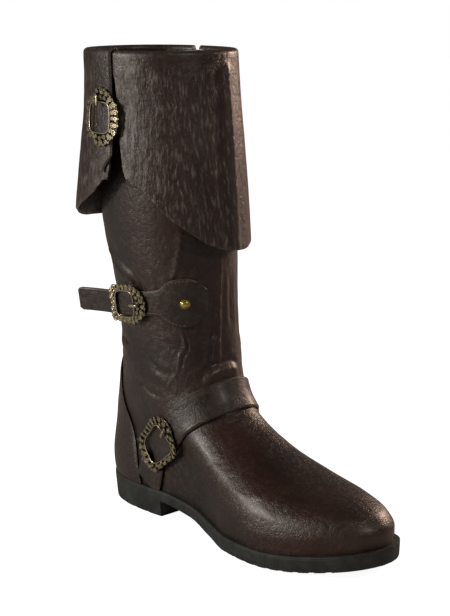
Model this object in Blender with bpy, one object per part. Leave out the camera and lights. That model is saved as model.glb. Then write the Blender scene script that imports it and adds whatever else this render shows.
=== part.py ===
"""Tall leather boot with a fold-over cuff, three buckled straps and a moulded rubber sole.

A right boot, as one assembly in metres with +Z up: the toe points to -Y and the lateral side, which
carries the buckles, is at -X. The origin is on the floor, at the middle of the heel's flat tread.
"""
import math

import bmesh
import bpy
import numpy as np

MM = 0.001

# Sole
SOLE_LENGTH = 305 * MM
BALL_WIDTH = 105 * MM
HEEL_LENGTH = 84 * MM
SEAT_HEIGHT = 24 * MM
SOLE_THICKNESS = 13 * MM
WAIST_THICKNESS = 10 * MM
TOE_SPRING = 11 * MM
HEEL_TAPER = 2.2 * MM
SOLE_LIP = 1.2 * MM
TREAD_RIM = 9 * MM
EDGE_GROOVE = 0.8 * MM
GROOVE_DEPTH = 2.6 * MM
GROOVE_WIDTH = 3.6 * MM
GROOVE_PITCH = 12.0 * MM

# Upper
LEATHER = 2.0 * MM
SOLE_MARGIN = 3.0 * MM
TIP_ROUNDING = 0.08
INSTEP_HEIGHT = 130 * MM
SHAFT_HEIGHT = 392.5 * MM
INSOLE_THICKNESS = 3.5 * MM
CLEARANCE = 0.3 * MM
FIT = 0.7 * MM

# Heel counter, calf overlay and cuff
COUNTER_THICKNESS = 1.4 * MM
CUFF_LEATHER = 2.2 * MM
CUFF_DROP = 160 * MM
CUFF_FLARE = 14.5 * MM
CUFF_LEAN = 0.5
CUFF_LEAN_TURN = 0.12
CUFF_SPLIT = 0.79
CUFF_GIRTH = 430 * MM
FOLD_RADIUS = 3.2 * MM
FOLD_RISE = 3.9 * MM
SPLIT_WIDTH = 9 * MM

# Straps and buckles
STRAP_LEATHER = 2.4 * MM
CUFF_STRAP_WIDTH = 22 * MM
CUFF_STRAP_DROP = 94 * MM
CUFF_STRAP_TIP = 14 * MM
CUFF_STRAP_TURN = 0.248
CUFF_BUCKLE_DROP = 50 * MM
CUFF_BUCKLE_SHIFT = 1 * MM
CALF_STRAP_WIDTH = 21 * MM
STRAP_STAND = 8 * MM
CALF_FREE_LENGTH = 31 * MM
CALF_BUCKLE_TURN = 0.226
ANKLE_STRAP_WIDTH = 28 * MM
ANKLE_BUCKLE_TURN = 0.208
CUFF_OPENING_ACROSS = 25 * MM
CUFF_OPENING_LENGTH = 25 * MM
CALF_OPENING_ACROSS = 23 * MM
CALF_OPENING_LENGTH = 21 * MM
ANKLE_OPENING_ACROSS = 28 * MM
ANKLE_OPENING_LENGTH = 38 * MM
BUCKLE_THICKNESS = 3.2 * MM
BUCKLE_SEAT = 0.5 * MM
PRONG_OVERHANG = 3 * MM
PRONG_WIDTH = 3.4 * MM
PRONG_THICKNESS = 1.8 * MM
SNAP_TURN = 0.398
SNAP_RADIUS = 3.9 * MM
SNAP_HEIGHT = 2.4 * MM

HEEL_BACK = HEEL_LENGTH / 2

AROUND = 40
CUFF_COLUMNS = 42


def table(columns, *rows):
    """Give a table's rows as named columns."""
    names = columns.split()
    return {name: [row[index] for row in rows] for index, name in enumerate(names)}


# Widths of the sole's edge, as shares of BALL_WIDTH, at shares of SOLE_LENGTH from the heel's back
OUTLINE = table(
    "station lateral medial",
    (0.000, 0.045, 0.045),
    (0.012, 0.165, 0.160),
    (0.040, 0.262, 0.255),
    (0.085, 0.332, 0.318),
    (0.150, 0.370, 0.345),
    (0.220, 0.376, 0.343),
    (0.300, 0.360, 0.315),
    (0.400, 0.362, 0.280),
    (0.500, 0.420, 0.295),
    (0.600, 0.500, 0.360),
    (0.690, 0.526, 0.440),
    (0.770, 0.498, 0.478),
    (0.840, 0.436, 0.474),
    (0.900, 0.350, 0.430),
    (0.945, 0.262, 0.364),
    (0.975, 0.170, 0.276),
    (0.992, 0.080, 0.190),
    (1.000, 0.000, 0.110),
)

# The sole's top and underside: seat is a share of the drop from heel seat to forefoot,
# arch a share of the waist's clearance, spring a share of TOE_SPRING
PROFILE = table(
    "station seat arch spring",
    (0.00, 1.00, 1.00, 0.00),
    (0.20, 1.00, 1.00, 0.00),
    (0.30, 0.97, 0.98, 0.00),
    (0.40, 0.72, 0.72, 0.00),
    (0.50, 0.28, 0.26, 0.00),
    (0.58, 0.03, 0.00, 0.00),
    (0.66, 0.00, 0.00, 0.00),
    (0.72, 0.00, 0.00, 0.00),
    (0.80, 0.00, 0.00, 0.14),
    (0.88, 0.00, 0.00, 0.42),
    (0.95, 0.00, 0.00, 0.74),
    (1.00, 0.00, 0.00, 1.00),
)

# The upper's level sections. Level 0 is the sole's top, 1 the instep and 2 the shaft's top. Back and
# front are shares of SOLE_LENGTH from the heel's back, lateral and medial of BALL_WIDTH; oval is how
# far the section has left the sole's outline, spread how far that outline is kept, and full its
# roundness
SECTIONS = table(
    "level back front lateral medial oval spread full",
    (0.000, 0.004, 0.987, 0.40, 0.40, 0.00, 1.000, 2.2),
    (0.100, -0.003, 0.988, 0.42, 0.41, 0.02, 1.015, 2.2),
    (0.210, -0.006, 0.964, 0.42, 0.40, 0.10, 0.995, 2.2),
    (0.314, -0.004, 0.900, 0.42, 0.36, 0.22, 0.940, 2.2),
    (0.400, -0.001, 0.800, 0.41, 0.33, 0.38, 0.870, 2.2),
    (0.480, 0.004, 0.695, 0.40, 0.31, 0.54, 0.820, 2.2),
    (0.573, 0.011, 0.598, 0.40, 0.31, 0.70, 0.790, 2.2),
    (0.680, 0.022, 0.520, 0.40, 0.32, 0.85, 0.790, 2.2),
    (0.830, 0.036, 0.462, 0.40, 0.35, 0.96, 0.790, 2.2),
    (1.000, 0.047, 0.431, 0.41, 0.39, 1.00, 0.790, 2.2),
    (1.160, 0.050, 0.416, 0.42, 0.41, 1.00, 0.790, 2.2),
    (1.290, 0.048, 0.403, 0.43, 0.42, 1.00, 0.790, 2.2),
    (1.450, 0.027, 0.394, 0.46, 0.45, 1.00, 0.790, 2.2),
    (1.560, 0.002, 0.388, 0.49, 0.48, 1.00, 0.790, 2.2),
    (1.750, -0.026, 0.384, 0.52, 0.51, 1.00, 0.790, 2.2),
    (2.000, -0.048, 0.361, 0.54, 0.53, 1.00, 0.790, 2.2),
)

# The cuff: its hem and how far it stands off the shaft. Turn is a share of the way round from the
# heel's back over the lateral side; drop is a share of CUFF_DROP
HEM = table(
    "turn drop",
    (-0.200, 0.860),
    (-0.120, 0.890),
    (-0.040, 0.900),
    (0.060, 0.885),
    (0.125, 0.830),
    (0.186, 0.750),
    (0.244, 0.655),
    (0.262, 0.625),
    (0.306, 0.630),
    (0.330, 0.665),
    (0.353, 0.716),
    (0.383, 0.800),
    (0.414, 0.864),
    (0.450, 0.935),
    (0.500, 0.985),
    (0.555, 1.000),
    (0.610, 0.985),
    (0.690, 0.930),
    (0.800, 0.860),
)
# The slit's two edges below the cuff's fold, by drop as above
SLIT = table(
    "drop behind before",
    (0.080, 0.2660, 0.2800),
    (0.350, 0.2640, 0.2860),
    (0.560, 0.2625, 0.2960),
    (0.610, 0.2600, 0.3030),
    (0.700, 0.2500, 0.3200),
)
FLARE = table(
    "drop out",
    (0.00, 0.00),
    (0.20, 0.08),
    (0.50, 0.38),
    (0.80, 0.78),
    (1.00, 1.00),
)

# The counter's front edge, as a turn to either side of the heel's back at each level
COUNTER = table(
    "level turn",
    (0.00, 0.146),
    (0.30, 0.144),
    (0.50, 0.148),
    (0.66, 0.138),
    (0.85, 0.110),
    (0.98, 0.076),
    (1.07, 0.044),
    (1.10, 0.012),
)

# Straps on the skin: centre line by turn and level, breadth as a share of the strap's width and
# lift as a share of STRAP_STAND, how far a strap stands off the skin
CALF_STRAP = table(
    "turn level breadth lift",
    (0.160, 1.347, 1.00, 1.00),
    (0.185, 1.347, 1.00, 0.52),
    (0.215, 1.350, 1.00, 0.14),
    (0.250, 1.355, 1.00, 0.00),
    (0.300, 1.367, 1.00, 0.00),
    (0.330, 1.372, 1.10, 0.00),
    (0.350, 1.374, 1.55, 0.00),
    (0.370, 1.375, 1.86, 0.00),
    (0.395, 1.374, 2.00, 0.00),
    (0.420, 1.372, 1.86, 0.00),
    (0.440, 1.370, 1.50, 0.00),
    (0.452, 1.367, 1.05, 0.00),
    (0.459, 1.366, 0.50, 0.00),
)
ANKLE_STRAP = table(
    "turn level breadth lift",
    (0.176, 0.280, 0.40, 0.00),
    (0.182, 0.310, 0.90, 0.00),
    (0.194, 0.370, 1.00, 0.00),
    (0.230, 0.475, 1.00, 0.00),
    (0.278, 0.585, 1.00, 0.00),
    (0.325, 0.690, 1.00, 0.00),
    (0.369, 0.765, 1.00, 0.00),
    (0.430, 0.830, 1.00, 0.00),
    (0.495, 0.860, 1.00, 0.00),
    (0.560, 0.835, 1.00, 0.00),
    (0.625, 0.765, 1.00, 0.00),
    (0.680, 0.640, 1.00, 0.00),
    (0.725, 0.470, 1.00, 0.00),
    (0.765, 0.260, 1.00, 0.00),
    (0.795, 0.030, 1.00, 0.00),
)
ANKLE_TAB = table(
    "turn level breadth lift",
    (0.160, 0.030, 1.00, 0.00),
    (0.165, 0.120, 1.00, 0.00),
    (0.172, 0.235, 0.96, 0.00),
)

# The buckles' rims, as shares of half the opening's width; 0 degrees points across the strap and 90
# along it, to the side that the prong rests on
CUFF_RIM = table(
    "degrees reach",
    (0, 1.68),
    (25, 1.76),
    (42, 1.76),
    (55, 1.80),
    (75, 1.96),
    (90, 1.96),
    (101, 1.80),
    (112, 1.34),
    (135, 1.57),
    (155, 1.36),
    (180, 1.26),
    (205, 1.36),
    (225, 1.54),
    (247, 1.30),
    (258, 1.72),
    (272, 1.84),
    (288, 1.86),
    (305, 1.80),
    (325, 1.76),
    (345, 1.72),
    (360, 1.68),
)
CALF_RIM = table(
    "degrees reach",
    (0, 1.43),
    (28, 1.61),
    (55, 1.87),
    (75, 2.02),
    (90, 2.06),
    (105, 2.02),
    (125, 1.87),
    (152, 1.61),
    (180, 1.32),
    (210, 1.50),
    (228, 1.70),
    (250, 1.30),
    (270, 1.16),
    (290, 1.30),
    (312, 1.70),
    (330, 1.61),
    (360, 1.43),
)
ANKLE_RIM = table(
    "degrees reach",
    (0, 1.42),
    (30, 1.60),
    (50, 1.92),
    (70, 2.16),
    (90, 2.28),
    (110, 2.16),
    (130, 1.92),
    (150, 1.60),
    (180, 1.38),
    (205, 1.50),
    (230, 1.92),
    (250, 1.82),
    (270, 1.74),
    (290, 1.82),
    (310, 1.92),
    (335, 1.50),
    (360, 1.42),
)


def curve(rows, key, value, at):
    """Read the smooth curve through two columns of a table."""
    xs = rows[key]
    ys = rows[value]
    last = len(xs) - 1
    if at <= xs[0]:
        return ys[0]
    if at >= xs[last]:
        return ys[last]

    def slope(index):
        if index in (0, last):
            start = 0 if index == 0 else last - 1
            return (ys[start + 1] - ys[start]) / (xs[start + 1] - xs[start])
        before = (ys[index] - ys[index - 1]) / (xs[index] - xs[index - 1])
        after = (ys[index + 1] - ys[index]) / (xs[index + 1] - xs[index])
        if before * after <= 0:
            return 0.0
        return 2 * before * after / (before + after)

    low = max(index for index in range(last) if xs[index] <= at)
    span = xs[low + 1] - xs[low]
    t = (at - xs[low]) / span
    start = (2 * t**3 - 3 * t**2 + 1) * ys[low] + (t**3 - 2 * t**2 + t) * span * slope(low)
    end = (3 * t**2 - 2 * t**3) * ys[low + 1] + (t**3 - t**2) * span * slope(low + 1)
    return start + end


def mix(low, high, share):
    """Blend two values."""
    return low + (high - low) * share


def along(station):
    """Give the y of a share of the sole's length from the heel's back."""
    return HEEL_BACK - station * SOLE_LENGTH


def sole_top(station):
    """Give the height of the sole's top face."""
    seat = curve(PROFILE, "station", "seat", station) * (SEAT_HEIGHT - SOLE_THICKNESS)
    return SOLE_THICKNESS + seat + curve(PROFILE, "station", "spring", station) * TOE_SPRING


def sole_underside(station):
    """Give the height of the sole's underside in front of the heel's breast."""
    arch = curve(PROFILE, "station", "arch", station) * (SEAT_HEIGHT - WAIST_THICKNESS)
    return arch + curve(PROFILE, "station", "spring", station) * TOE_SPRING


def shaft_height(share):
    """Give the height at a share of the shaft's levels, rising at first as the foot's levels do."""
    rate = (INSTEP_HEIGHT - SEAT_HEIGHT) / (SHAFT_HEIGHT - INSTEP_HEIGHT)
    return mix(INSTEP_HEIGHT, SHAFT_HEIGHT, rate * share + (1 - rate) * share**2)


def skin(level, angle):
    """Give a point of the upper's outer face; angle 0 is the back, pi the front, below pi lateral."""
    back = curve(SECTIONS, "level", "back", level)
    front = curve(SECTIONS, "level", "front", level)
    oval = curve(SECTIONS, "level", "oval", level)
    spread = curve(SECTIONS, "level", "spread", level)
    full = curve(SECTIONS, "level", "full", level)
    side = "lateral" if math.sin(angle) >= 0 else "medial"
    sign = -1 if side == "lateral" else 1
    share = (1 - math.cos(angle)) / 2
    station = mix(back, front, share)
    lateral = curve(OUTLINE, "station", "lateral", share) * BALL_WIDTH
    medial = curve(OUTLINE, "station", "medial", share) * BALL_WIDTH
    ends = math.sin(math.pi / 2 * min(1.0, abs(math.sin(angle)) / TIP_ROUNDING))
    low = sign * max(0.0, (lateral + medial) / 2 * spread - SOLE_MARGIN) * ends
    low += (medial - lateral) / 2
    high = sign * curve(SECTIONS, "level", side, level) * BALL_WIDTH
    high *= max(0.0, 1 - abs(2 * share - 1) ** full) ** (1 / full)
    if level < 1:
        height = mix(sole_top(station), INSTEP_HEIGHT, level)
    else:
        height = shaft_height(level - 1)
    return np.array((mix(low, high, oval), along(station), height))


def skin_frame(level, angle):
    """Give the outer face's point, its slopes by level and angle, and its outward normal."""
    step = 0.004
    here = skin(level, angle)
    low, high = max(0.0, level - step), min(2.0, level + step)
    by_level = (skin(high, angle) - skin(low, angle)) / (high - low)
    by_angle = (skin(level, angle + step) - skin(level, angle - step)) / (2 * step)
    normal = np.cross(by_angle, by_level)
    return here, by_level, by_angle, normal / np.linalg.norm(normal)


def offset_skin(level, angle, distance):
    """Give the point at a distance outside the upper's outer face."""
    here, _, _, normal = skin_frame(level, angle)
    return here + normal * distance


def material(name, colour, roughness, metallic=0.0):
    """Make a plain shader with a linear colour."""
    made = bpy.data.materials.new(name)
    made.use_nodes = True
    shader = made.node_tree.nodes["Principled BSDF"]
    shader.inputs["Base Color"].default_value = (*colour, 1.0)
    shader.inputs["Roughness"].default_value = roughness
    shader.inputs["Metallic"].default_value = metallic
    made.diffuse_color = (*colour, 1.0)
    return made


def add_object(name, points, faces, finish, sharp=40):
    """Add a mesh object, with its faces turned outwards and its round stretches smooth."""
    mesh = bpy.data.meshes.new(name)
    mesh.from_pydata([tuple(point) for point in points], [], faces)
    shell = bmesh.new()
    shell.from_mesh(mesh)
    bmesh.ops.remove_doubles(shell, verts=shell.verts, dist=0.00001)
    bmesh.ops.recalc_face_normals(shell, faces=shell.faces)
    shell.to_mesh(mesh)
    shell.free()
    mesh.shade_smooth()
    mesh.set_sharp_from_angle(angle=math.radians(sharp))
    mesh.materials.append(finish)
    made = bpy.data.objects.new(name, mesh)
    bpy.context.scene.collection.objects.link(made)
    return made


def loft(rings, closed_path=False, caps=True):
    """Join rings of equal length into the faces of one body."""
    count = len(rings[0])
    points = [point for ring in rings for point in ring]
    steps = len(rings) if closed_path else len(rings) - 1
    faces = []
    for row in range(steps):
        start, end = row * count, (row + 1) % len(rings) * count
        for index in range(count):
            after = (index + 1) % count
            faces.append((start + index, start + after, end + after, end + index))
    if caps and not closed_path:
        faces.append(tuple(reversed(range(count))))
        faces.append(tuple(range((len(rings) - 1) * count, len(rings) * count)))
    return points, faces


def levels(low, high, stops):
    """Give levels between two limits, spaced evenly along the shaft's front line and its back."""
    fine = [mix(low, high, index / 200) for index in range(201)]
    front = [skin(level, math.pi) for level in fine]
    back = [skin(level, 0.0) for level in fine]
    length = [0.0]
    for index in range(200):
        ahead = np.linalg.norm(front[index + 1] - front[index])
        behind = np.linalg.norm(back[index + 1] - back[index])
        length.append(length[-1] + 0.65 * ahead + 0.35 * behind)
    return [float(np.interp(length[-1] * stop / stops, length, fine)) for stop in range(stops + 1)]


def ring_angles(count):
    """Give angles round a section."""
    return [2 * math.pi * index / count for index in range(count)]


def make_upper(finish):
    """Make the hollow leather upper, open at the collar and underneath."""
    rows = levels(0.0, 2.0, 27)
    angles = ring_angles(AROUND)
    lift = np.array((0.0, 0.0, CLEARANCE))
    outer = [[skin(level, angle) + lift for angle in angles] for level in rows]
    inner = [[inside(level, angle) + lift for angle in angles] for level in reversed(rows)]
    points, faces = loft(outer + inner, closed_path=True)
    return add_object("upper", points, faces, finish)


def inside(level, angle):
    """Give a point of the upper's inner face, level with its outer one at the bottom rim."""
    point = offset_skin(level, angle, -LEATHER)
    if level <= 0.0:
        point[2] = skin(level, angle)[2]
    return point


def sole_section(station, inset, low, groove, high):
    """Give one cross section of the sole: the tread and one side, then the other side back."""
    y = along(station)
    lateral = curve(OUTLINE, "station", "lateral", station) * BALL_WIDTH
    medial = curve(OUTLINE, "station", "medial", station) * BALL_WIDTH
    edge = low + min(groove, EDGE_GROOVE)
    heights = (low + groove, edge, low + SOLE_LIP, mix(low, high, 0.6), high - SOLE_LIP, high)
    insets = (TREAD_RIM, inset + 0.8 * MM, inset, inset * 0.3, 0.0, 0.9 * MM)
    left = [(-max(lateral - cut, 0.4 * MM), y, z) for z, cut in zip(heights, insets)]
    right = [(max(medial - cut, 0.8 * MM), y, z) for z, cut in zip(heights, insets)]
    return left + right[::-1]


def sole_stations():
    """Give the sole's stations with the depth of its tread there, from heel to toe."""
    breast = HEEL_LENGTH / SOLE_LENGTH
    edge = GROOVE_WIDTH / 2 / SOLE_LENGTH
    wall = 0.5 * MM / SOLE_LENGTH
    marks = [(station, 0.0) for station in OUTLINE["station"]]
    heel_grooves = [0.20 * HEEL_LENGTH, 0.40 * HEEL_LENGTH, 0.60 * HEEL_LENGTH, 0.80 * HEEL_LENGTH]
    tread_start, tread_end = 0.50 * SOLE_LENGTH, 0.955 * SOLE_LENGTH
    count = int((tread_end - tread_start) / GROOVE_PITCH)
    tread = [tread_start + (index + 0.5) * GROOVE_PITCH for index in range(count)]
    grooves = [place / SOLE_LENGTH for place in heel_grooves + tread]
    for middle in grooves:
        marks = [mark for mark in marks if abs(mark[0] - middle) > edge + 3 * wall]
    for middle in grooves:
        marks += [(middle - edge - wall, 0.0), (middle - edge, GROOVE_DEPTH)]
        marks += [(middle + edge, GROOVE_DEPTH), (middle + edge + wall, 0.0)]
    marks = [mark for mark in marks if abs(mark[0] - breast) > 4 * wall]
    marks += [(breast, 0.0), (breast + wall, 0.0)]
    return sorted(marks)


def make_outsole(finish):
    """Make the moulded sole with its heel, breast, waist and the cross grooves of its tread."""
    breast = HEEL_LENGTH / SOLE_LENGTH
    rings = []
    for station, groove in sole_stations():
        on_heel = station <= breast
        low = 0.0 if on_heel else sole_underside(station)
        inset = HEEL_TAPER if on_heel else SOLE_LIP / 2
        rings.append(sole_section(station, inset, low, groove, sole_top(station)))
    points, faces = loft(rings)
    return add_object("outsole", points, faces, finish, sharp=25)


def make_insole(finish):
    """Make the footbed, which lies on the sole inside the upper."""
    rings = []
    half_turn = AROUND // 2
    for index in [0.5, *range(1, half_turn), half_turn - 0.5]:
        angle = math.pi * index / half_turn
        sides = []
        for side in (angle, 2 * math.pi - angle):
            x, y, _ = offset_skin(0.0, side, -LEATHER - 2 * FIT)
            sides.append((x, y))
        (left, y), (right, _) = sides
        station = (HEEL_BACK - y) / SOLE_LENGTH
        low = sole_top(station) + CLEARANCE
        high = low + INSOLE_THICKNESS
        middle = (left + right) / 2
        dish = 0.8 * MM
        rings.append(
            [
                (left, y, low),
                (left, y, high),
                (middle, y, high - dish),
                (right, y, high),
                (right, y, low),
            ]
        )
    points, faces = loft(rings)
    return add_object("insole", points, faces, finish)


def skin_patch(name, grid, lift, thickness, finish):
    """Make a sheet of even thickness over a grid of levels and angles on the upper."""
    rings = []
    for row in grid:
        low = [above_sole(offset_skin(level, angle, lift)) for level, angle in row]
        high = [above_sole(offset_skin(level, angle, lift + thickness)) for level, angle in row]
        rings.append(low + high[::-1])
    points, faces = loft(rings)
    return add_object(name, points, faces, finish)


def make_counter(finish):
    """Make the leather overlay round the heel."""
    grid = []
    for step in range(14):
        level = mix(0.004, COUNTER["level"][-1], step / 13)
        edge = 2 * math.pi * curve(COUNTER, "level", "turn", level)
        grid.append([(level, mix(-edge, edge, index / 12)) for index in range(13)])
    lift = CLEARANCE + FIT
    return skin_patch("heel_counter", grid, lift, COUNTER_THICKNESS, finish)


def slide(level, angle, move):
    """Give the level and angle reached by sliding over the skin from a point."""
    steps = 4
    for _ in range(steps):
        _, by_level, by_angle, _ = skin_frame(level, angle)
        slopes = np.column_stack((by_level, by_angle))
        change, *_ = np.linalg.lstsq(slopes, move / steps, rcond=None)
        level = min(2.0, max(0.0, level + change[0]))
        angle += change[1]
    return level, angle


def above_sole(point):
    """Lift a point that would reach into the sole."""
    station = (HEEL_BACK - point[1]) / SOLE_LENGTH
    floor = sole_top(station) + CLEARANCE
    return np.array((point[0], point[1], max(point[2], floor)))


def strap_row(rows, turn, width, lifts, across):
    """Give the points across a strap on the skin, once for each height above it."""
    level = curve(rows, "turn", "level", turn)
    breadth = curve(rows, "turn", "breadth", turn) * width
    angle = 2 * math.pi * turn
    step = 0.002
    ahead = skin(curve(rows, "turn", "level", turn + step), 2 * math.pi * (turn + step))
    behind = skin(curve(rows, "turn", "level", turn - step), 2 * math.pi * (turn - step))
    tangent = (ahead - behind) / np.linalg.norm(ahead - behind)
    side = np.cross(skin_frame(level, angle)[3], tangent)
    stand = curve(rows, "turn", "lift", turn) * STRAP_STAND
    sheets = []
    for lift in lifts:
        sheet = []
        for index in range(across + 1):
            spot = slide(level, angle, side * breadth * (index / across - 0.5))
            sheet.append(above_sole(offset_skin(*spot, lift + stand)))
        sheets.append(sheet)
    return sheets


def strap_rings(rows, width, lift, steps, across):
    """Give the closed sections of a strap that lies on the skin."""
    start, end = rows["turn"][0], rows["turn"][-1]
    rings = []
    for index in range(steps + 1):
        turn = mix(start, end, index / steps)
        low, high = strap_row(rows, turn, width, (lift, lift + STRAP_LEATHER), across)
        rings.append(low + high[::-1])
    return rings


def make_ankle_straps(finish):
    """Make the strap over the instep and the tab that holds its buckle at the sole."""
    lift = CLEARANCE + FIT
    points, faces = loft(strap_rings(ANKLE_STRAP, ANKLE_STRAP_WIDTH, lift, 34, 4))
    add_object("ankle_strap", points, faces, finish)
    points, faces = loft(strap_rings(ANKLE_TAB, ANKLE_STRAP_WIDTH, lift, 4, 4))
    add_object("ankle_tab", points, faces, finish)


def make_calf_strap(finish):
    """Make the calf strap: a snapped round end, a band through the buckle and a free end."""
    lift = CLEARANCE + FIT
    rings = strap_rings(CALF_STRAP, CALF_STRAP_WIDTH, lift, 26, 4)
    first = np.array(rings[0])
    after = np.array(rings[1])
    ahead = (first - after).mean(axis=0)
    ahead[2] = 0.0
    ahead /= np.linalg.norm(ahead)
    away = np.array((-ahead[1], ahead[0], 0.0))
    if away[0] > 0:
        away = -away
    free = []
    for share in (1.0, 0.8, 0.6, 0.4, 0.2):
        reach = CALF_FREE_LENGTH * share
        bow = CALF_FREE_LENGTH * 0.16 * share**2
        drop = np.array((0.0, 0.0, -1.5 * MM * share))
        free.append([point + ahead * reach + away * bow + drop for point in first])
    points, faces = loft(free + rings)
    add_object("calf_strap", points, faces, finish)


def level_at(height):
    """Give the level of a height on the shaft."""
    rate = (INSTEP_HEIGHT - SEAT_HEIGHT) / (SHAFT_HEIGHT - INSTEP_HEIGHT)
    share = (height - INSTEP_HEIGHT) / (SHAFT_HEIGHT - INSTEP_HEIGHT)
    return 1 + (math.sqrt(rate**2 + 4 * (1 - rate) * share) - rate) / (2 * (1 - rate))


def cuff_point(turn, drop, out):
    """Give a point beside the shaft, below its rim by a drop and outside its face."""
    rim = SHAFT_HEIGHT + CLEARANCE
    height = min(SHAFT_HEIGHT, rim - drop)
    level = level_at(height)
    here, _, _, normal = skin_frame(level, 2 * math.pi * turn)
    flat = np.array((normal[0], normal[1], 0.0))
    flat /= np.linalg.norm(flat)
    return np.array((here[0], here[1], rim - drop)) + flat * out


def cuff_face(turn, drop):
    """Give how far the cuff's outer face stands off the shaft."""
    flare = curve(FLARE, "drop", "out", drop / CUFF_DROP)
    lean = 1 + CUFF_LEAN * math.cos(2 * math.pi * (turn - CUFF_LEAN_TURN))
    return FOLD_RADIUS + CUFF_LEATHER / 2 + flare * CUFF_FLARE * lean


def cuff_section(turn):
    """Give the cuff's closed section: over the fold, down the outer face and back inside."""
    hem = curve(HEM, "turn", "drop", turn) * CUFF_DROP
    face = cuff_face(0.0, 0.0)
    middle = (face - LEATHER) / 2
    reach = (face + LEATHER) / 2
    ring = [cuff_point(turn, -CLEARANCE, -LEATHER), cuff_point(turn, -1.4 * MM, -LEATHER)]
    for degrees in (130, 90, 50, 15):
        lean = math.radians(degrees)
        rise = FOLD_RISE * math.sin(lean)
        ring.append(cuff_point(turn, -rise, middle + reach * math.cos(lean)))
    shares = (0.05, 0.2, 0.4, 0.6, 0.8, 1.0)
    for share in shares:
        drop = share * hem
        ring.append(cuff_point(turn, drop, cuff_face(turn, drop)))
    for share in reversed(shares):
        drop = share * hem
        ring.append(cuff_point(turn, drop, cuff_face(turn, drop) - CUFF_LEATHER))
    ring.append(cuff_point(turn, -CLEARANCE, face - 1.6 * CUFF_LEATHER))
    return ring


def make_slit_cutter():
    """Make the wedge that cuts the slit, from just off the shaft to clear outside the cuff."""
    rings = []
    for share in SLIT["drop"]:
        drop = share * CUFF_DROP
        behind = curve(SLIT, "drop", "behind", share)
        before = curve(SLIT, "drop", "before", share)
        near = FIT
        far = cuff_face(before, drop) + 2 * CUFF_LEATHER
        corners = ((behind, near), (before, near), (before, far), (behind, far))
        rings.append([cuff_point(turn, drop, out) for turn, out in corners])
    points, faces = loft(rings)
    cutter = add_object("slit_cutter", points, faces, material("cutter", (0.5, 0.5, 0.5), 0.5))
    cutter.hide_render = True
    cutter.display_type = "WIRE"
    return cutter


def make_cuff(finish):
    """Make the fold-over cuff, split on the medial side and slit on the lateral side."""
    half = SPLIT_WIDTH / 2 / CUFF_GIRTH
    start, end = CUFF_SPLIT - 1 + half, CUFF_SPLIT - half
    rings = [cuff_section(mix(start, end, index / CUFF_COLUMNS)) for index in range(CUFF_COLUMNS + 1)]
    points, faces = loft(rings)
    made = add_object("cuff", points, faces, finish)
    cut = made.modifiers.new("slit", "BOOLEAN")
    cut.object = make_slit_cutter()
    cut.operation = "DIFFERENCE"
    cut.solver = "EXACT"
    return made


def make_cuff_strap(finish):
    """Make the strap that comes over the fold and hangs down the cuff's slit."""
    face = cuff_face(0.0, 0.0)
    middle = (face - LEATHER) / 2
    reach = (face + LEATHER) / 2
    lift = CLEARANCE + FIT / 2
    path = [(-LEATHER - lift, drop, (-1.0, 0.0)) for drop in (10 * MM, 2 * MM)]
    for degrees in (160, 125, 90, 55, 20):
        lean = math.radians(degrees)
        out = middle + (reach + lift) * math.cos(lean)
        path.append((out, -(FOLD_RISE + lift) * math.sin(lean), (math.cos(lean), math.sin(lean))))
    path += [(None, mix(2 * MM, CUFF_STRAP_DROP, index / 12), (1.0, 0.0)) for index in range(13)]
    rings = []
    for out, drop, (sideways, upwards) in path:
        taper = min(1.0, max(0.25, (CUFF_STRAP_DROP - drop) / CUFF_STRAP_TIP))
        low, high = [], []
        for share in (-0.5, -0.17, 0.17, 0.5):
            turn = CUFF_STRAP_TURN + share * taper * CUFF_STRAP_WIDTH / CUFF_GIRTH
            seat = cuff_face(turn, drop) + lift if out is None else out
            low.append(cuff_point(turn, drop, seat))
            top = seat + sideways * STRAP_LEATHER
            high.append(cuff_point(turn, drop - upwards * STRAP_LEATHER, top))
        rings.append(low + high[::-1])
    points, faces = loft(rings)
    add_object("cuff_strap", points, faces, finish)


def make_buckle(place, rim, across, lengthwise, finish, name):
    """Make a cast frame and its short prong; place gives the point at x across, y along, z out."""
    count = 44
    rings = []
    for index in range(count):
        turn = 2 * math.pi * index / count
        cos, sin = math.cos(turn), math.sin(turn)
        square = (abs(cos) ** 4 + abs(sin) ** 4) ** -0.25
        reach = curve(rim, "degrees", "reach", math.degrees(turn)) * across / 2
        outer = (reach * cos, reach * sin)
        inner = (across / 2 * cos * square, lengthwise / 2 * sin * square)
        crest = ((outer[0] + inner[0]) / 2, (outer[1] + inner[1]) / 2)
        rings.append(
            [
                place(*outer, 0.0),
                place(*outer, 0.55 * BUCKLE_THICKNESS),
                place(*crest, BUCKLE_THICKNESS),
                place(*inner, 0.55 * BUCKLE_THICKNESS),
                place(*inner, 0.0),
            ]
        )
    points, faces = loft(rings, closed_path=True)
    add_object(name + "_buckle", points, faces, finish)
    rest = BUCKLE_THICKNESS + CLEARANCE
    start = lengthwise / 2 - PRONG_OVERHANG
    end = (lengthwise / 2 + curve(rim, "degrees", "reach", 90) * across / 2) / 2
    rings = []
    for share in (0.0, 0.5, 1.0):
        y = mix(start, end, share)
        half = PRONG_WIDTH / 2 * mix(0.8, 1.0, share)
        rings.append(
            [
                place(-half, y, rest),
                place(half, y, rest),
                place(half * 0.6, y, rest + PRONG_THICKNESS),
                place(-half * 0.6, y, rest + PRONG_THICKNESS),
            ]
        )
    points, faces = loft(rings)
    add_object(name + "_prong", points, faces, finish)


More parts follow.
